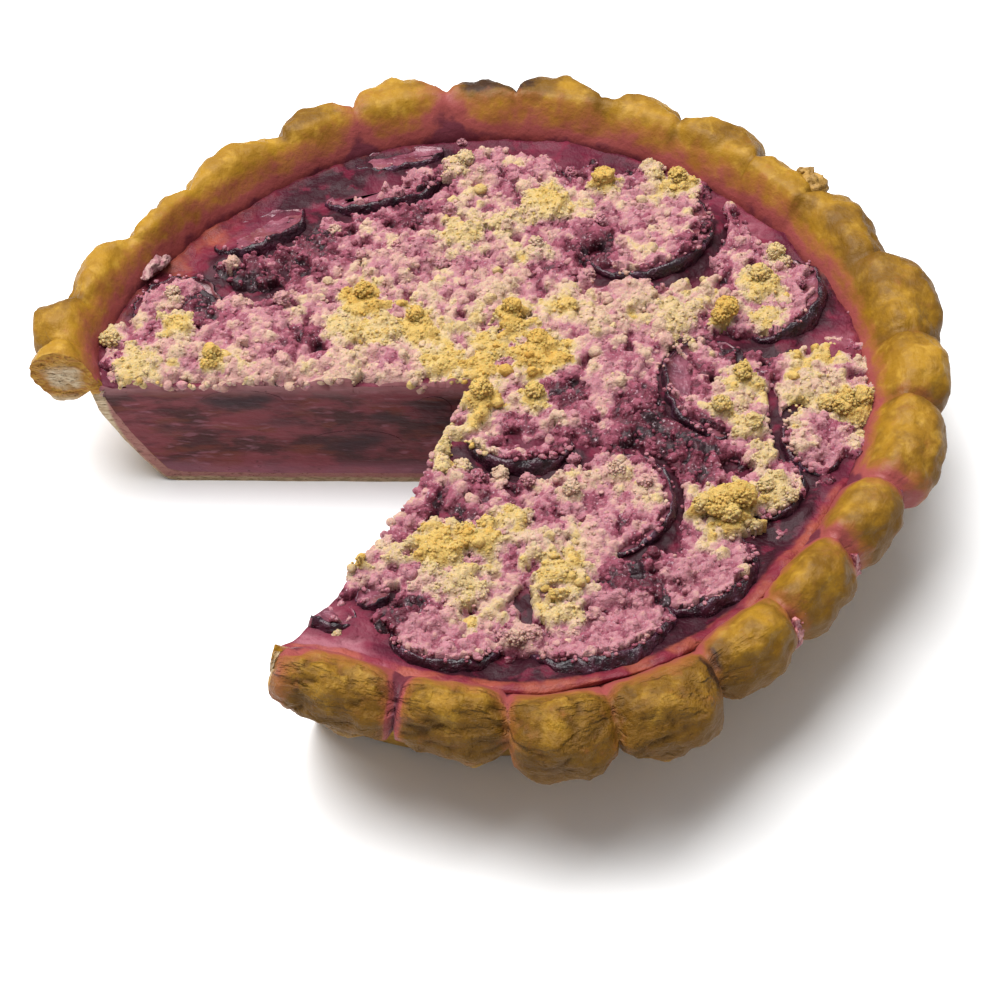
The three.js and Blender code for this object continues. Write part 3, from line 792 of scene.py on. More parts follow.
def plum_skin():
    finish = Finish("plum_skin", specular_ior_level=0.4, coat_roughness=0.15)
    folds = finish.cloud(3.2, 4, rough=0.6)
    colour = finish.tint(folds.rise(0.35, 0.7), seen(34, 14, 26), seen(74, 26, 46))
    colour = finish.tint(finish.cloud(6, 3).rise(0.55, 0.72) * 0.7, colour, seen(104, 66, 90))
    sugar = finish.cloud(0.7, 2).rise(0.6, 0.72) * finish.cloud(7, 2).rise(0.52, 0.66)
    colour = finish.tint(sugar * 0.6, colour, seen(164, 134, 152))
    bump = folds * 1.7 + finish.cloud(1.3, 3) * 0.5
    return finish.wear(colour, 0.26 + 0.3 * sugar, bump, 0.9, coat=0.2)


def plum_flesh():
    finish = Finish("plum_flesh", specular_ior_level=0.5, coat_roughness=0.2)
    swirl = finish.cloud(5, 4)
    colour = finish.tint(swirl.rise(0.35, 0.65), seen(104, 46, 64), seen(146, 82, 98))
    colour = finish.tint(finish.cloud(8, 3).rise(0.48, 0.62) * 0.6, colour, seen(124, 62, 58))
    sugar = finish.cloud(0.9, 2).rise(0.58, 0.7)
    colour = finish.tint(sugar * 0.3, colour, seen(196, 150, 166))
    return finish.wear(colour, 0.36, swirl + finish.cloud(1.4, 2) * 0.6, 0.8, coat=0.2)


skin, flesh = plum_skin(), plum_flesh()
# Steps from the edge of the skin in over the flesh for a plum 22 mm wide: inset and rise
LIP = [(0.45, 0.35), (0.4, 0.1), (0.25, -0.9), (1.2, -0.3), (2, -0.1), (2.2, 0), (2.2, 0)]
LIP_WIDTH = 22


def make_plum(number, x, y, raised, length, width, tilt, height, gap):
    bm = bmesh.new()
    bmesh.ops.create_uvsphere(bm, u_segments=72, v_segments=32, radius=1)
    bmesh.ops.scale(bm, vec=(width / 2, length / 2, PLUM_DEPTH), verts=bm.verts)
    whole = bm.verts[:] + bm.edges[:] + bm.faces[:]
    cut = bmesh.ops.bisect_plane(bm, geom=whole, plane_co=(0, 0, -0.25), plane_no=(0, 0, 1),
                                 clear_outer=True)
    rim = [e for e in cut["geom_cut"] if isinstance(e, bmesh.types.BMEdge)]
    face = bmesh.ops.contextual_create(bm, geom=rim)["faces"]
    share = min(1, width / LIP_WIDTH)
    for inset, rise in LIP:
        ring = bmesh.ops.inset_region(bm, faces=face, thickness=inset * share, depth=rise * share)["faces"]
        for f in ring:
            f.material_index = 0 if rise > 0 else 1
    for f in face:
        f.material_index = 1
    bmesh.ops.poke(bm, faces=face)
    co = np.array([v.co for v in bm.verts])
    round_it = np.arctan2(co[:, 1] * width / length, co[:, 0]) * 0.25 * (length + width)
    wrinkle = relief(np.stack([round_it, co[:, 2] * 0.3, 0 * round_it + 20 * number], 1), 3.2)
    wavy = relief(co + 50 * number, 9) * 1.0 + relief(co + 50 * number, 4) * 0.4 + wrinkle * 0.8
    far = np.hypot(co[:, 0] / width, co[:, 1] / length) * 2
    near_edge = hump(co[:, 2], 0, 3) * eased(0.75, 0.95, far)
    away = co / np.maximum(np.linalg.norm(co, axis=1), 1)[:, None]
    slump = np.clip(-co[:, 2], 0, 7) * 0.07 * gap * eased(0.1, 0.8, 2 * co[:, 0] / width)
    co += away * wavy[:, None]
    co[:, 2] += near_edge * (1.3 * relief(co + 70, 5) + 0.5 * relief(co + 70, 2))
    co[:, 0] += slump
    move_points(bm, co)
    turn = Matrix.Rotation(math.radians(raised), 4, "Z") @ Matrix.Rotation(math.radians(-tilt), 4, "Y")
    bmesh.ops.transform(bm, matrix=Matrix.Translation((x, y, height)) @ turn, verts=bm.verts)
    bmesh.ops.recalc_face_normals(bm, faces=bm.faces)
    piece = piece_of(bm, f"plum_{number:02d}", [skin, flesh])
    points = coordinates(piece.data) / MM
    if clear_of_slice(points[:, 0], points[:, 1]).min() < 0:
        part_at_slice(piece, folded=True)
    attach(piece, "root")
    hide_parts(f"plum_half_{number:02d}")


for number, plum in enumerate(PLUMS, 1):
    make_plum(number, *plum)


# Sunken plum pieces. Softened halves that went down into the filling before it set. The knife has
# gone through them and laid them open in the first cut.

SKIN_SHARE = 0.4
SUNKEN_PROUD = 0.1


def make_sunken_plum(number, x, y, z, half_length, half_width, half_height):
    bm = bmesh.new()
    bmesh.ops.create_uvsphere(bm, u_segments=32, v_segments=16, radius=1)
    size = [half - SKIN_SHARE for half in (half_length, half_width, half_height)]
    bmesh.ops.scale(bm, vec=size, verts=bm.verts)
    bmesh.ops.translate(bm, vec=(x, y, z), verts=bm.verts)
    piece = piece_of(bm, f"sunken_{number}", [skin, filling_cut])
    part_at_slice(piece)
    piece.data.transform(Matrix.Translation((0, -SUNKEN_PROUD * MM, 0)))
    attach(piece, "root")
    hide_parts(f"sunken_plum_{number}")


for number, plum in enumerate(SUNKEN, 1):
    make_sunken_plum(number, *plum)


# Crumble. Flour, butter and sugar rubbed into grains of all sizes lie in one layer over the
# filling and the plums. Dry lumps bake yellow, and what the juice reaches turns pink to dark red.

CRUMBLE_REACH = 89
CRUMBLE_TONGUES = [
    (170, 15, 19), (150, 8, 3), (128, 18, -10), (94, 14, 7), (58, 9, 9), (44, 8, 7), (30, 9, 3),
    (0, 17, 15), (-32, 14, 0), (-70, 26, -8), (-114, 12, -7),
]
# Heaps of crumble: x, y, width, height over the layer, dryness from wet 0 to golden 1
HEAPS = [
    (-35, 31, 15, 3.2, 0.97), (-41, 22, 11, 2, 0.75), (-20, 22, 14, 3, 0.92), (-13, 8, 14, 3.2, 0.85),
    (-3, 7, 12, 3, 0.92), (5, 24, 11, 3, 0.94), (12, 12, 17, 3, 0.92), (0, 14, 14, 2.5, 0.85),
    (-18, 35, 9, 2, 0.6), (-9, 56, 15, 3, 0.78), (2, 62, 9, 2, 0.7), (15, 70, 15, 3.4, 0.82),
    (8, 64, 9, 2, 0.7), (-85, 22, 11, 3.4, 0.88), (-87, 32, 6, 3, 0.62), (-95, 9, 14, 2, 0.78),
    (-75, 10, 8, 2.4, 0.9), (-72, 46, 5, 2, 0.55), (-57, 30, 6, 2, 0.5), (31, 78, 10, 3.6, 0.95),
    (53, 79, 12, 3.4, 0.9), (45, 84, 8, 2, 0.7), (78, 49, 8, 4, 0.72), (73, 38, 13, 3.4, 0.82),
    (74, 25, 10, 2.6, 0.82), (62, 25, 8, 3.2, 0.98), (50, 27, 14, 3, 0.72), (20, 30, 6, 2, 0.85),
    (12, 50, 7, 2.2, 0.62), (27, 42, 6, 2.6, 0.5), (66, 2, 12, 3, 0.84), (60, -7, 9, 2.6, 0.8),
    (66, -14, 10, 2.4, 0.76), (70, -24, 8, 2, 0.74), (73, -36, 12, 3, 0.75), (60, -42, 18, 4.6, 0.93),
    (95, -6, 14, 3.6, 0.88), (96, -15, 8, 2.4, 0.78), (86, 2, 12, 2.6, 0.62), (80, -21, 7, 2.4, 0.6),
    (-3, -6, 11, 3.8, 0.9), (11, -5, 10, 3, 0.88), (-9, -24, 12, 2.8, 0.86), (-14, -20, 8, 2.2, 0.72),
    (2, -30, 7, 2.8, 0.6), (-13, -55, 18, 4.2, 0.9), (-3, -53, 13, 3.6, 0.86), (5, -46, 11, 3.2, 0.78),
    (12, -54, 12, 3, 0.6), (17, -64, 15, 4, 0.86), (18, -75, 11, 3, 0.76), (-8, -66, 14, 3, 0.72),
    (-16, -66, 10, 2.4, 0.62), (7, -83, 12, 4, 0.56), (46, -62, 12, 2.6, 0.36), (32, -30, 9, 2.4, 0.62),
    (20, -38, 7, 2.6, 0.6), (39, -36, 6, 2.4, 0.55), (-5, 43, 10, 1.6, 0.4), (-28, 44, 14, 2.4, 0.48),
    (-20, 52, 12, 2.6, 0.46), (0, 36, 14, 2, 0.56), (30, 22, 14, 2, 0.56), (38, 34, 14, 2.2, 0.55),
    (-62, 22, 16, 3, 0.5), (-60, 10, 14, 2.4, 0.46), (-40, 8, 12, 2, 0.56), (-70, 30, 10, 2, 0.4),
    (38, 68, 16, 2, 0.46), (86, 22, 8, 1.6, 0.4), (-3, 84, 12, 3.4, 0.4), (-11, 84, 9, 3, 0.62),
    (14, 84, 8, 2.6, 0.5), (64, 48, 9, 2.4, 0.5), (-34, -60, 6, 3.4, 0.88), (-24, -56, 8, 2.4, 0.66),
    (92, 42, 6, 2.6, 0.4), (30, 2, 12, 1.6, 0.5), (24, -8, 10, 1.6, 0.42), (26, -50, 12, 2, 0.46),
    (-30, 20, 12, 1.6, 0.75), (-52, 38, 10, 1.6, 0.4), (-84, 14, 10, 1.4, 0.5), (26, 58, 12, 1.4, 0.45),
]
# Where the layer is thin or bare, so that flesh, skin and juice show: x, y, half sizes, amount
BARE = [
    (49.5, 4, 4, 10, 1.1), (68, 17, 10, 3.5, 1.3), (8, -72, 2.2, 6, 1.3), (-68, 36, 13, 3.5, 0.9),
    (-85, 44, 12, 3, 1.1), (-66, 65, 14, 7, 1.6), (-40, 80, 9, 6, 1.4), (-25, 92, 14, 5, 0.9),
    (45, -50, 3, 7, 0.9), (63, -27, 6, 3, 0.7), (56, 43, 6, 3, 1.1), (57, 60, 3, 9, 0.6),
    (90, 34, 6, 12, 1.1), (-56, 44, 8, 6, 0.5), (20, 88, 5, 4, 0.6), (-12, -43, 5, 3, 0.7),
    (8, -18, 12, 5, 0.7), (74, -10, 1.2, 14, 1.3), (76, -38, 3, 8, 0.9), (4, -34, 5, 4, 0.4),
    (88, -27, 9, 5, 0.5), (-42, -73, 7, 6, 1.1), (-30, -70, 5, 4, 0.8), (66, -50, 6, 4, 0.6),
    (84, 20, 5, 4, 0.5), (29, 51, 6, 5, 0.6),
]
# Where juice has soaked the crumble most, or kept off it: x, y, radius, amount
SOAKED = [
    (35, -10, 14, 0.3), (50, -15, 10, 0.4), (-12, -40, 9, 0.35), (5, -33, 7, 0.3), (57, -27, 10, 0.4),
    (-50, 50, 10, 0.3), (-68, 38, 14, 0.35), (-85, 40, 12, 0.35), (-5, 44, 8, 0.2), (25, 52, 10, 0.25),
    (-25, 66, 14, 0.25), (25, 86, 8, 0.35), (60, 54, 8, 0.35), (-52, 18, 8, 0.25), (88, -24, 9, 0.3),
    (35, -56, 12, 0.15), (30, -72, 9, 0.2), (-26, -70, 10, 0.25), (92, 38, 9, 0.35), (66, 14, 10, 0.4),
    (20, -2, 8, 0.2), (45, -72, 12, 0.35), (20, -18, 8, 0.2), (-25, 82, 12, 0.2), (42, 16, 8, 0.1),
    (29, 52, 8, 0.25), (-30, 12, 16, -0.1), (8, 20, 20, -0.12), (40, 30, 16, -0.08), (88, 4, 14, -0.22),
    (52, 66, 12, -0.02),
]
LAYER = 5.2
LAYER_SUNK = 2.5
BRINK_RISE = 0.07
# The layer is drawn as a map of heights over this grid, in mm.
PITCH = 0.5
REACH_X, REACH_Y = 107, 94


def crumble_edge(azimuth):
    """How far the crumble reaches from the axis, in mm."""
    reach = np.full(np.shape(azimuth), float(CRUMBLE_REACH))
    for centre, half_width, extra in CRUMBLE_TONGUES:
        off = (azimuth - centre + 540) % 360 - 180
        reach += extra * hump(off, 0, half_width)
    return reach


columns = round(2 * REACH_X / PITCH) + 1
rows = round(2 * REACH_Y / PITCH) + 1
grid_x, grid_y = np.meshgrid(np.linspace(-REACH_X, REACH_X, columns), np.linspace(-REACH_Y, REACH_Y, rows))


def uncovered(x, y):
    """The plum halves at the far left have no crumble on them."""
    return y > 60 and x < 0


def patchy(size, seed):
    """Soft noise over the grid, drawn from sums of turned waves, from about -1 to 1."""
    draw = np.random.default_rng(seed)
    total = np.zeros(grid_x.shape)
    for _ in range(26):
        turn = draw.uniform(0, 2 * math.pi)
        wave = 2 * math.pi / (size * draw.uniform(0.7, 1.6))
        total += np.sin(wave * (grid_x * math.cos(turn) + grid_y * math.sin(turn)) + draw.uniform(0, 7))
    return total / 4.5


radius = np.hypot(grid_x, grid_y)
azimuth = np.degrees(np.arctan2(grid_y, grid_x))
ground = custard_top(radius)
clear = clear_of_slice(grid_x, grid_y)
bare = 0.25 * patchy(6, 3)
for x, y, half_x, half_y, amount in BARE:
    far = ((grid_x - x) / half_x) ** 2 + ((grid_y - y) / half_y) ** 2
    bare += amount * np.exp(-far ** 1.5)
inside = eased(-3.5, 3.5, crumble_edge(azimuth) - radius + 2.6 * patchy(11, 1) + 1.8 * patchy(4, 2))
cover = np.clip(inside - np.maximum(bare, 0), 0, 1)
height = ground - LAYER_SUNK + LAYER * cover + 0.5 * patchy(14, 4) * cover + 0.35 * patchy(5, 5) * cover
# Wetness is 0 where the crumble is golden and dry, 0.5 where it is pink, and 1 where juice has soaked it.
wetness = 0.5 + 0.12 * patchy(18, 6) + 0.1 * patchy(7, 7) + 0.045 * patchy(3, 10) + 0.3 * (1 - cover)
for x, y, size, amount in SOAKED:
    wetness += amount * np.exp(-((grid_x - x) ** 2 + (grid_y - y) ** 2) / size ** 2)
wetness += 0.2 * eased(-12, 2, radius - crumble_edge(azimuth))

# It lies on the plum halves too, up to the raised brink, and leaves a gap beyond their skins.
thickness = LAYER + 0.5 * patchy(5, 8)
brink = 0.9 + BRINK_RISE * patchy(5, 11)
for x, y, raised, length, width, tilt, level, gap in PLUMS:
    lift = math.radians(tilt)
    out, side = turned_from(grid_x - x, grid_y - y, raised)
    out = out / (width / 2 * math.cos(lift))
    far = np.hypot(out, side / (length / 2))
    face = level + out * width / 2 * math.sin(lift)
    up = eased(-0.15, 0.4, out / np.maximum(far, 0.1))
    thin = np.clip(1.1 - 1.2 * bare - uncovered(x, y), 0, 1)
    layer = face - 4.5 + thickness * eased(0, 0.5, thin)
    low = np.where(far < 1, np.maximum(height, layer), height)
    high = np.where(far < brink, np.maximum(layer, height - 1),
                    np.where(far < 1 + 2 * gap / width, level - 6, height))
    height = np.where(far < 1.9, mix(low, high, up), height)
    cover = np.where(far < brink, np.maximum(cover, thin), cover * (1 - up * (far < 1 + 2 * gap / width)))
    wetness += 0.15 * up * hump(far, 1, 0.2) * (gap > 1)
    outermost = (far < 0.9) & (radius > crumble_edge(azimuth) - 10)
    wetness = np.where(outermost, np.minimum(wetness, 0.62), wetness)

# Along the straight cut the layer has sunk into the filling and rounds off.
beside_cut = eased(-8, -16, grid_x) * (grid_y > 0)
sunk = hump(clear, 0, 2.6) * beside_cut
height -= (1.6 + 1.1 * patchy(13, 12)) * sunk
wetness = mix(wetness, 0.47, np.clip(1.1 * hump(clear, 0, 4) * beside_cut, 0, 1))
# Brightness over the layer: random brightness of the grains, with painted shade added in the hollows below.
tone_and_shade_map = np.zeros(grid_x.shape)


def level_at(layer, x, y):
    column = min(columns - 1, max(0, round((x + REACH_X) / PITCH)))
    row = min(rows - 1, max(0, round((y + REACH_Y) / PITCH)))
    return float(layer[row, column])


ragged = 0.22 * patchy(5, 9)
for x, y, width, rise, dry in HEAPS:
    far = np.hypot(grid_x - x, grid_y - y) / (width / 2) + ragged
    swell = np.clip(1 - far ** 2, 0, 1) ** 0.75
    base = level_at(height, x, y)
    height = np.where(far < 1, np.maximum(height, base + rise * swell - 0.4), height)
    share = eased(1.3, 0.5, far)
    wetness = mix(wetness, 1 - dry, share * (0.88 if dry > 0.5 else 0.5))

bed = height.copy()
dice = random.Random(5)
SOFTNESS = 0.3
DRY = 0.3


def press_in(x, y, rise, size, wet, tone_and_shade):
    """Sets one round grain into the map of the crumble."""
    column, row, span = (x + REACH_X) / PITCH, (y + REACH_Y) / PITCH, size / PITCH
    patch = (slice(max(0, math.floor(row - span)), min(rows, math.ceil(row + span) + 1)),
             slice(max(0, math.floor(column - span)), min(columns, math.ceil(column + span) + 1)))
    far = (grid_x[patch] - x) ** 2 + (grid_y[patch] - y) ** 2
    cap = rise + size * np.maximum(0, 1 - far / (size * size)) ** 0.7
    old = height[patch]
    joined = 0.5 * (old + cap + np.sqrt((old - cap) ** 2 + SOFTNESS ** 2))
    touched = (far < size * size) & (cap > old - 0.1) & (old > rise - 0.7 * size)
    higher = touched & (cap > old)
    height[patch] = np.where(touched, joined, old)
    wetness[patch] = np.where(higher, wet, wetness[patch])
    tone_and_shade_map[patch] = np.where(higher, tone_and_shade, tone_and_shade_map[patch])


def off_slice(spots, share):
    """Keeps the grains that are clear of the slice by a share of their radius."""
    x, y, size = np.array([spot[:4] for spot in spots])[:, [0, 1, 3]].T
    free = clear_of_slice(x, y) > share * size
    return [spot for spot, kept in zip(spots, free) if kept]


def sow(spacing, small, large, low, high, jitter):
    """Presses grains in all over the layer, with radii and heights between the given ones."""
    before = height.copy()
    sown = []
    for row in np.arange(-REACH_Y, REACH_Y, spacing):
        for column in np.arange(-REACH_X, REACH_X, spacing):
            x = column + dice.uniform(-0.5, 0.5) * spacing
            y = row + dice.uniform(-0.5, 0.5) * spacing
            shown = level_at(cover, x, y) * (1 - 0.75 * level_at(sunk, x, y))
            under = level_at(before, x, y)
            if shown < 0.25 + 0.5 * dice.random() or under < custard_top(math.hypot(x, y)) - 0.5:
                continue
            wet = level_at(wetness, x, y) + dice.gauss(0, jitter)
            size = (small + (large - small) * dice.random() ** 2) * (0.75 if wet < DRY else 1)
            z = under + size * dice.uniform(low, high)
            sown.append((x, y, z, size, wet, dice.gauss(0, 1)))
    sown = off_slice(sown, 0.15)
    for grain in sown:
        press_in(*grain)
    return sown


sow(spacing=3.4, small=1.3, large=2.6, low=-0.7, high=-0.3, jitter=0.04)
grains = sow(spacing=1.25, small=0.55, large=1.0, low=-0.6, high=-0.1, jitter=0.025)


def blurred(layer, reach):
    """Mean over a square of cells, the given number out each way."""
    for axis in (0, 1):
        total = np.cumsum(layer, axis=axis)
        layer = (np.roll(total, -reach, axis) - np.roll(total, reach + 1, axis)) / (2 * reach + 1)
    return layer


# The tops of the grains have dried, and the juice has risen in the hollows between them.
hollow = np.clip((height - blurred(height, 4)) / 0.8, -1, 1) * (cover > 0.3)
wetness -= 0.06 * hollow * (wetness > 0.35)
# Painted shade: the hollows between the grains are darkened and their tops lightened.
tone_and_shade_map += 0.6 * hollow

# Steep steps are eased, as crumble slides.
step = np.hypot(*np.gradient(height))
height = mix(height, blurred(height, 1), eased(1.1, 1.9, step))


def crumble_finish():
    finish = Finish("crumble_grains", specular_ior_level=0.25, coat_roughness=0.3, subsurface_weight=0.4,
                    subsurface_radius=(1.0, 0.6, 0.5), subsurface_scale=0.0007)
    speck = finish.cloud(1.1, 3, rough=0.65)
    wet = finish.noted("wetness") + (speck - 0.5) * 0.24
    # From golden through cream and pink to the dark red of soaked crumble
    stops = [(-0.12, seen(208, 156, 66)), (0.04, seen(212, 170, 84)), (0.17, seen(214, 180, 104)),
             (0.29, seen(213, 186, 134)), (0.39, seen(212, 180, 154)), (0.48, seen(205, 159, 150)),
             (0.58, seen(190, 130, 140)), (0.7, seen(156, 80, 100)), (0.84, seen(104, 34, 54)),
             (1.05, seen(46, 12, 26))]
    colour = stops[0][1]
    for (low, _), (high, after) in zip(stops, stops[1:]):
        colour = finish.tint(wet.rise(low, high), colour, after)
    # Each grain's random brightness lightens or darkens its colour. On the layer, the same note also holds
    # painted shade in the hollows and painted light on the tops.
    light = (finish.noted("tone_and_shade") * 0.18 + 0.5).rise(0, 1)
    own = finish.tint(light, (0.84, 0.82, 0.8), (1.08, 1.08, 1.08))
    colour = finish.tint(1, colour, own, "MULTIPLY")
    dust = finish.cloud(0.8, 2).rise(0.6, 0.72) * wet.rise(0.5, 0.7)
    colour = finish.tint(dust * 0.5, colour, seen(224, 196, 204))
    bump = finish.cloud(0.7, 3, rough=0.6) + finish.cloud(1.8, 2) * 0.7
    return finish.wear(colour, 0.74 - 0.3 * wet.rise(0.5, 1), bump, 0.65, coat=0.2 * wet.rise(0.6, 1.0))


crumble_colour = crumble_finish()
# The layer is left out where it lies this far under the filling or would drop this far in one cell,
# and points that are all but on the cut are moved onto it.
DEEPEST = 2.2
STEEPEST = 2.2
ON_CUT = 0.3


def make_crumble_bed():
    bm = bmesh.new()
    bmesh.ops.create_grid(bm, x_segments=columns - 1, y_segments=rows - 1, size=1)
    bmesh.ops.scale(bm, vec=(REACH_X, REACH_Y, 1), verts=bm.verts)
    co = np.array([v.co for v in bm.verts])
    column = np.rint((co[:, 0] + REACH_X) / PITCH).astype(int)
    row = np.rint((co[:, 1] + REACH_Y) / PITCH).astype(int)
    room = clear[row, column]
    top = height[row, column]
    kept = (room > -ON_CUT) & (top > ground[row, column] - DEEPEST)
    step_x = (clear_of_slice(co[:, 0] + 0.01, co[:, 1]) - room) * 100
    step_y = (clear_of_slice(co[:, 0], co[:, 1] + 0.01) - room) * 100
    layers = [bm.verts.layers.float.new(name) for name in ("wetness", "tone_and_shade")]
    values = zip(bm.verts, top, room, step_x, step_y, wetness[row, column], tone_and_shade_map[row, column])
    for v, z, near, away_x, away_y, wet, tone_and_shade in values:
        v.co.z = z
        if abs(near) < ON_CUT:
            v.co -= Vector((away_x, away_y, 0)) * near
        v[layers[0]] = wet
        v[layers[1]] = tone_and_shade
    bmesh.ops.delete(bm, geom=[v for v, keep in zip(bm.verts, kept) if not keep], context="VERTS")
    steep = [f for f in bm.faces if np.ptp([v.co.z for v in f.verts]) > STEEPEST]
    bmesh.ops.delete(bm, geom=steep, context="FACES")
    edge = [e for e in bm.edges if e.is_boundary]
    skirt = bmesh.ops.extrude_edge_only(bm, edges=edge)["geom"]
    for part in skirt:
        if isinstance(part, bmesh.types.BMVert):
            part.co.z = max(custard_top(math.hypot(part.co.x, part.co.y)) - 3, part.co.z - 4.5)
        if isinstance(part, bmesh.types.BMFace):
            middle = part.calc_center_median()
            part.material_index = int(abs(float(clear_of_slice(middle.x, middle.y))) < 0.1)
    bmesh.ops.recalc_face_normals(bm, faces=bm.faces)
    return piece_of(bm, "crumble_bed", [crumble_colour, filling_cut])


crumble_bed = make_crumble_bed()
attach(crumble_bed, "root")
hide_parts("crumble")


# Loose grains. The same crumble in round crumbs of 1 to 5 mm, which were strewn last and lie on the
# layer, on the plum skins and over the edges of the cuts.

ANY_TURN = (0, 6.3)
BATCH = 120


def roughen(bm, size, amount, seed=0):
    """Pushes the points of lumps every way by noise of the given size."""
    co = np.array([v.co for v in bm.verts])
    shift = np.stack([relief(co + 31 * k + seed, size, 3) for k in range(3)], 1) * amount
    move_points(bm, co + shift)


def scatter(name, spots, fineness, roughness):
    """Joins many small uneven balls: x, y, z, radius, wetness and brightness of each."""
    mesh = bpy.data.meshes.new(name)
    whole = bmesh.new()
    for layer in ("wetness", "tone_and_shade"):
        whole.verts.layers.float.new(layer)
    for start in range(0, len(spots), BATCH):
        batch = bmesh.new()
        layers = [batch.verts.layers.float.new(layer) for layer in ("wetness", "tone_and_shade")]
        for x, y, z, size, wet, tone_and_shade in spots[start:start + BATCH]:
            squash = [dice.uniform(least, most) for least, most in ((0.75, 1.2), (0.75, 1.2), (0.65, 1))]
            turn = Matrix.Rotation(dice.uniform(*ANY_TURN), 4, "X")
            turn = turn @ Matrix.Rotation(dice.uniform(*ANY_TURN), 4, "Z")
            place = Matrix.Translation((x, y, z)) @ turn @ Matrix.Diagonal((*squash, 1))
            ball = bmesh.ops.create_icosphere(batch, subdivisions=fineness, radius=size, matrix=place)
            for v in ball["verts"]:
                v[layers[0]] = wet - 0.04 * (v.co.z - z) / size
                v[layers[1]] = tone_and_shade
        batch.to_mesh(mesh)
        whole.from_mesh(mesh)
        batch.free()
    bpy.data.meshes.remove(mesh)
    roughen(whole, 1.5, roughness)
    piece = piece_of(whole, name, [crumble_colour])
    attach(piece, "root")


# Fine crumbs over the heaps.
loose = []
for x, y, width, rise, dry in HEAPS:
    for _ in range(round((0.9 if dry > 0.6 else 0.2) * width * width)):
        turn = dice.uniform(*ANY_TURN)
        far = 0.55 * width * math.sqrt(dice.random())
        crumb_x, crumb_y = x + far * math.cos(turn), y + far * math.sin(turn)
        size = 0.35 + 0.3 * dice.random() ** 2
        z = level_at(height, crumb_x, crumb_y) - 0.4 * size
        wet = level_at(wetness, crumb_x, crumb_y) + dice.gauss(0, 0.04)
        loose.append((crumb_x, crumb_y, z, size, wet, dice.gauss(0, 1)))
# Crumbs that hang over the skins of the plums.
for x, y, raised, length, width, tilt, level, gap in PLUMS:
    turning = Matrix.Rotation(math.radians(raised), 3, "Z") @ Matrix.Rotation(-math.radians(tilt), 3, "Y")
    for _ in range(round(1.1 * length)):
        round_it = dice.uniform(-1.35, 1.35)
        share = dice.uniform(0.86, 1.03)
        across = share * width / 2 * math.cos(round_it)
        aside = share * length / 2 * math.sin(round_it)
        spot = turning @ Vector((across, aside, 0))
        crumb_x, crumb_y = x + spot.x, y + spot.y
        if level_at(bare, crumb_x, crumb_y) > 0.45 or (uncovered(x, y) and dice.random() < 0.8):
            continue
        size = 0.4 + 0.6 * dice.random() ** 2
        wet = min(0.66, level_at(wetness, crumb_x, crumb_y)) + dice.gauss(0, 0.05)
        loose.append((crumb_x, crumb_y, level + spot.z + 0.9 * size, size, wet, dice.gauss(0, 1)))
BALLS = 150
balls = []
while len(balls) < BALLS:
    x, y = dice.uniform(-REACH_X, REACH_X), dice.uniform(-REACH_Y, REACH_Y)
    if level_at(cover, x, y) < 0.4 + 0.3 * dice.random():
        continue
    if level_at(bed, x, y) < custard_top(math.hypot(x, y)) - 0.3:
        continue
    size = 1.0 + 0.9 * dice.random() ** 2
    wet = level_at(wetness, x, y) + dice.gauss(-0.04, 0.06)
    balls.append((x, y, level_at(bed, x, y) + 0.2 * size, size, wet, dice.gauss(0.2, 0.8)))
# Larger balls and chunks: x, y, radius, dryness
CHUNKS = [
    (63, 26, 3.1, 1.0), (61, 23.5, 2.2, 0.97), (-8, 86, 2.6, 0.72), (-57, 31, 2.3, 0.52),
    (-87, 34, 1.9, 0.66), (-44, 59, 1.7, 0.62), (78, 50, 2.4, 0.78), (80, 47, 2.0, 0.72),
    (2, -29, 2.1, 0.66), (32, -30, 2.2, 0.64), (20, -38, 2.1, 0.66), (39, -35, 1.8, 0.56),
    (21, -24, 1.5, 0.44), (20, -28, 1.6, 0.48), (-35, -61, 2.2, 0.9), (-8, -27, 2.4, 0.7),
    (-4, -32, 2.0, 0.4), (9, -33, 1.8, 0.5), (-13, -29, 1.9, 0.76), (-103, 19, 2.6, 0.8),
    (-106, 20, 1.6, 0.76), (-38, -80, 1.2, 0.72), (57, -44, 3.2, 0.93), (63, -41, 3.6, 0.94),
    (60, -46, 2.6, 0.86), (53, -43, 2.2, 0.84), (-3, -5, 2.8, 0.92), (11, -4, 2.4, 0.9),
    (31, 78, 2.6, 0.96), (92, -7, 3.0, 0.9), (97, -4, 2.8, 0.88), (88, -5, 2.4, 0.84),
    (-75, 11, 2.2, 0.92), (-35, 33, 2.4, 1.0), (66, 3, 2.4, 0.88), (12, 16, 2.8, 0.98),
    (5, 26, 2.3, 0.97), (-21, 25, 2.2, 0.95), (52, 80, 2.4, 0.92), (73, 40, 2.6, 0.84),
    (6, -84, 2.4, 0.6), (10, -82, 2.1, 0.56), (3, -82, 1.8, 0.52), (-9, 98, 1.1, 0.5),
    (70, -36, 2.2, 0.78), (76, -39, 1.8, 0.74), (68, -14, 2.2, 0.8), (60, -8, 2.4, 0.84),
    (22, 83, 1.5, 0.42), (60, 66, 1.6, 0.5), (84, 38, 1.4, 0.4), (30, 62, 1.6, 0.46), (36, 48, 1.5, 0.5),
    (-14, 46, 1.8, 0.5), (-12, 66, 1.7, 0.5), (-26, 52, 1.9, 0.5), (-36, 49, 1.7, 0.52),
    (12, 52, 1.7, 0.66), (26, 43, 1.8, 0.52),
]
chunks = []
for x, y, size, dry in CHUNKS:
    under = max(level_at(bed, x, y), custard_top(math.hypot(x, y)) + 0.5)
    chunks.append((x, y, under + 0.35 * size, size, 1.08 - dry, 0.6))
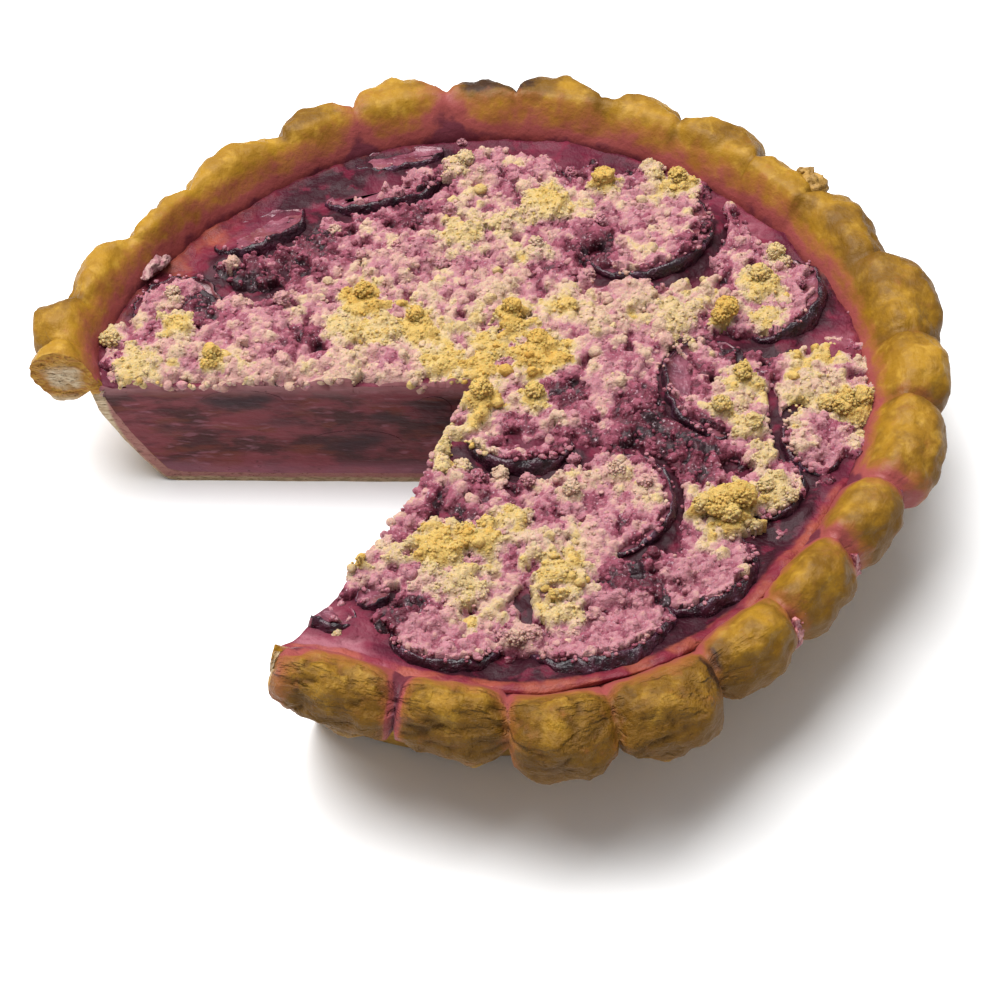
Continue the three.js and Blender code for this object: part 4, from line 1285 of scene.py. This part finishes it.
# Each chunk is crusted with fine grains.
for x, y, z, size, wet, _ in chunks:
    for _ in range(round(18 * size ** 1.6)):
        turn = dice.uniform(*ANY_TURN)
        rise = dice.uniform(-0.2, 1)
        flat = size * math.sqrt(max(0, 1 - rise * rise))
        spot = (x + flat * math.cos(turn), y + flat * math.sin(turn), z + 0.8 * size * rise)
        loose.append((*spot, dice.uniform(0.35, 0.6), wet + dice.gauss(0, 0.03), dice.gauss(0, 0.7)))
# Grains that hang over the two cut edges.
STRAIGHT_EDGE = [(-101, 3.15), (-8, 2.4), APEX]
hanging = []
for (x0, y0), (x1, y1) in [*zip(STRAIGHT_EDGE, STRAIGHT_EDGE[1:]), *zip(SECOND_CUT, SECOND_CUT[1:3])]:
    for _ in range(round(0.8 * math.hypot(x1 - x0, y1 - y0))):
        share = dice.random()
        size = 0.5 + 1.1 * dice.random() ** 2
        x, y = mix(x0, x1, share), mix(y0, y1, share)
        wet = min(0.66, level_at(wetness, x, y + 1.5 if y > 0 else y)) + dice.gauss(0, 0.05)
        z = max(level_at(height, x, y + 1), CUSTARD_HEIGHT) - 0.3 - 1.6 * dice.random() ** 1.5
        hanging.append((x, y + 0.3 * size, z, size, wet, dice.gauss(0, 1)))
PINK = 0.56
on_top = [(x, y, z + 0.15 * size, size, min(wet, 0.8), tone_and_shade) for x, y, z, size, wet, tone_and_shade in grains]
dry_grains = [grain for grain in on_top if grain[4] < DRY]
pink_grains = [grain for grain in on_top if DRY <= grain[4] < PINK]
wet_grains = [grain for grain in on_top if grain[4] >= PINK]
# Name, places, fineness, roughness, the most there may be, and the room left at the slice
for name, spots, fineness, roughness, most, share in (
        ("crumble_fines", loose, 1, 0.25, 9500, 0.3), ("dry_grains", dry_grains, 2, 0.2, 1000, 0.3),
        ("pink_grains", pink_grains, 2, 0.2, 2400, 0.3), ("wet_grains", wet_grains, 2, 0.2, 2400, 0.3),
        ("hanging_grains", hanging, 2, 0.2, 600, -math.inf), ("crumble_balls", balls, 3, 0.45, 400, 0.3),
        ("crumble_chunks", chunks, 4, 0.8, 60, 0.3)):
    spots = off_slice(spots, share)
    scatter(name, dice.sample(spots, min(most, len(spots))), fineness, roughness)


# Small things on the pastry: a crumb of dough, dried juice that ran out between the lobes, and a
# pale flake that stuck to the wall.

JUICE_RUN_HEIGHT = 39


def blobs(name, finish, spots, rough, seed):
    """Uneven lumps: x, y, z, half sizes outward, along and up, turned to face outward."""
    bm = bmesh.new()
    for x, y, z, *halves in spots:
        turn = Matrix.Rotation(math.atan2(y, x), 4, "Z")
        place = Matrix.Translation((x, y, z)) @ turn @ Matrix.Diagonal((*halves, 1))
        bmesh.ops.create_icosphere(bm, subdivisions=4, radius=1, matrix=place)
    roughen(bm, 2.4, rough, seed)
    return piece_of(bm, name, [finish])


def dried_juice():
    finish = Finish("dried_juice", specular_ior_level=0.5, coat_roughness=0.2)
    patch = finish.cloud(3, 4, rough=0.6)
    colour = finish.tint(patch.rise(0.35, 0.65), seen(150, 66, 84), seen(206, 130, 128))
    colour = finish.tint(finish.cloud(1.4, 3).rise(0.55, 0.7) * 0.6, colour, seen(120, 40, 60))
    return finish.wear(colour, 0.35 + 0.25 * patch, patch + finish.cloud(1, 3) * 0.5, 0.8, coat=0.25)


def at_azimuth(azimuth, radius):
    return radius * math.cos(math.radians(azimuth)), radius * math.sin(math.radians(azimuth))


def baked_crumb():
    finish = Finish("pastry_crumb", specular_ior_level=0.4)
    crisp = finish.cloud(2, 4, rough=0.6)
    colour = finish.tint(crisp.rise(0.35, 0.65), seen(140, 102, 36), seen(192, 150, 76))
    return finish.wear(colour, 0.55, crisp, 0.8)


def pale_crumb():
    finish = Finish("pale_flake", specular_ior_level=0.3)
    chalky = finish.cloud(2, 4, rough=0.6)
    colour = finish.tint(chalky.rise(0.35, 0.6), seen(160, 100, 110), seen(196, 158, 152))
    return finish.wear(colour, 0.7, chalky, 0.6)


lumps = [(*at_azimuth(38.5, 114), 46.5, 3.8, 4.2, 3.6), (*at_azimuth(40.5, 115), 47.5, 2.2, 2.4, 2.2)]
crumb = blobs("dough_crumb", baked_crumb(), lumps, rough=1.1, seed=5)
lumps = [(-93.5, 44, 41.5, 1.4, 4.6, 1.9), (-90.5, 47, 41, 1.1, 3.0, 1.4)]
flake = blobs("wall_flake", pale_crumb(), lumps, rough=0.9, seed=9)
lumps = []
for crease, reach in [(-20, 110.5), (-33, 108), (-47, 109.5)]:
    for off in range(-2, 3):
        place = at_azimuth(crease + 0.9 * off, reach - 0.4 * abs(off))
        lumps.append((*place, JUICE_RUN_HEIGHT - 1.5 * (off % 2), 1.3, 1.6, 5.2))
juice_runs = blobs("juice_runs", dried_juice(), lumps, rough=1.3, seed=3)
for piece, slot in ((crumb, "crust"), (flake, "crust"), (juice_runs, "custard")):
    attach(piece, "root")


# Floor, light and camera. A plain white table under one wide soft light from the back left, and an
# even white surrounding.

FLOOR_HALF = 4000
LAMP_PLACE = Vector((-0.29, 0.26, 1.22))
LAMP_SIZE = 1.15
LAMP_POWER = 35
SURROUND = 0.375
AIM = Vector((0.0019, -0.0209, 0.020))
DISTANCE = 0.7497
ELEVATION = math.radians(49.92)
LENS = 101.79
SENSOR = 36


def make_floor():
    bm = bmesh.new()
    bmesh.ops.create_grid(bm, x_segments=2, y_segments=2, size=FLOOR_HALF)
    return piece_of(bm, "floor", [Finish("white_table").wear((0.92, 0.92, 0.92), 0.7)])


floor = make_floor()

light = bpy.data.lights.new("key", "AREA")
light.size = LAMP_SIZE
light.energy = LAMP_POWER
lamp = bpy.data.objects.new("key", light)
lamp.location = LAMP_PLACE
lamp.rotation_euler = (Vector((0, 0, 0.03)) - LAMP_PLACE).to_track_quat("-Z", "Y").to_euler()
bpy.context.scene.collection.objects.link(lamp)

world = bpy.data.worlds.new("studio")
world.use_nodes = True
surround = world.node_tree.nodes["Background"]
surround.inputs["Color"].default_value = (1, 1, 1, 1)
surround.inputs["Strength"].default_value = SURROUND
bpy.context.scene.world = world
bpy.context.scene.view_settings.view_transform = "Standard"

lens = bpy.data.cameras.new("camera")
lens.sensor_width = SENSOR
lens.lens = LENS
camera = bpy.data.objects.new("camera", lens)
back = Vector((0, -math.cos(ELEVATION), math.sin(ELEVATION)))
camera.location = AIM + DISTANCE * back
camera.rotation_euler = back.to_track_quat("Z", "Y").to_euler()
bpy.context.scene.collection.objects.link(camera)
bpy.context.scene.camera = camera

bpy.data.objects.remove(missing_slice)
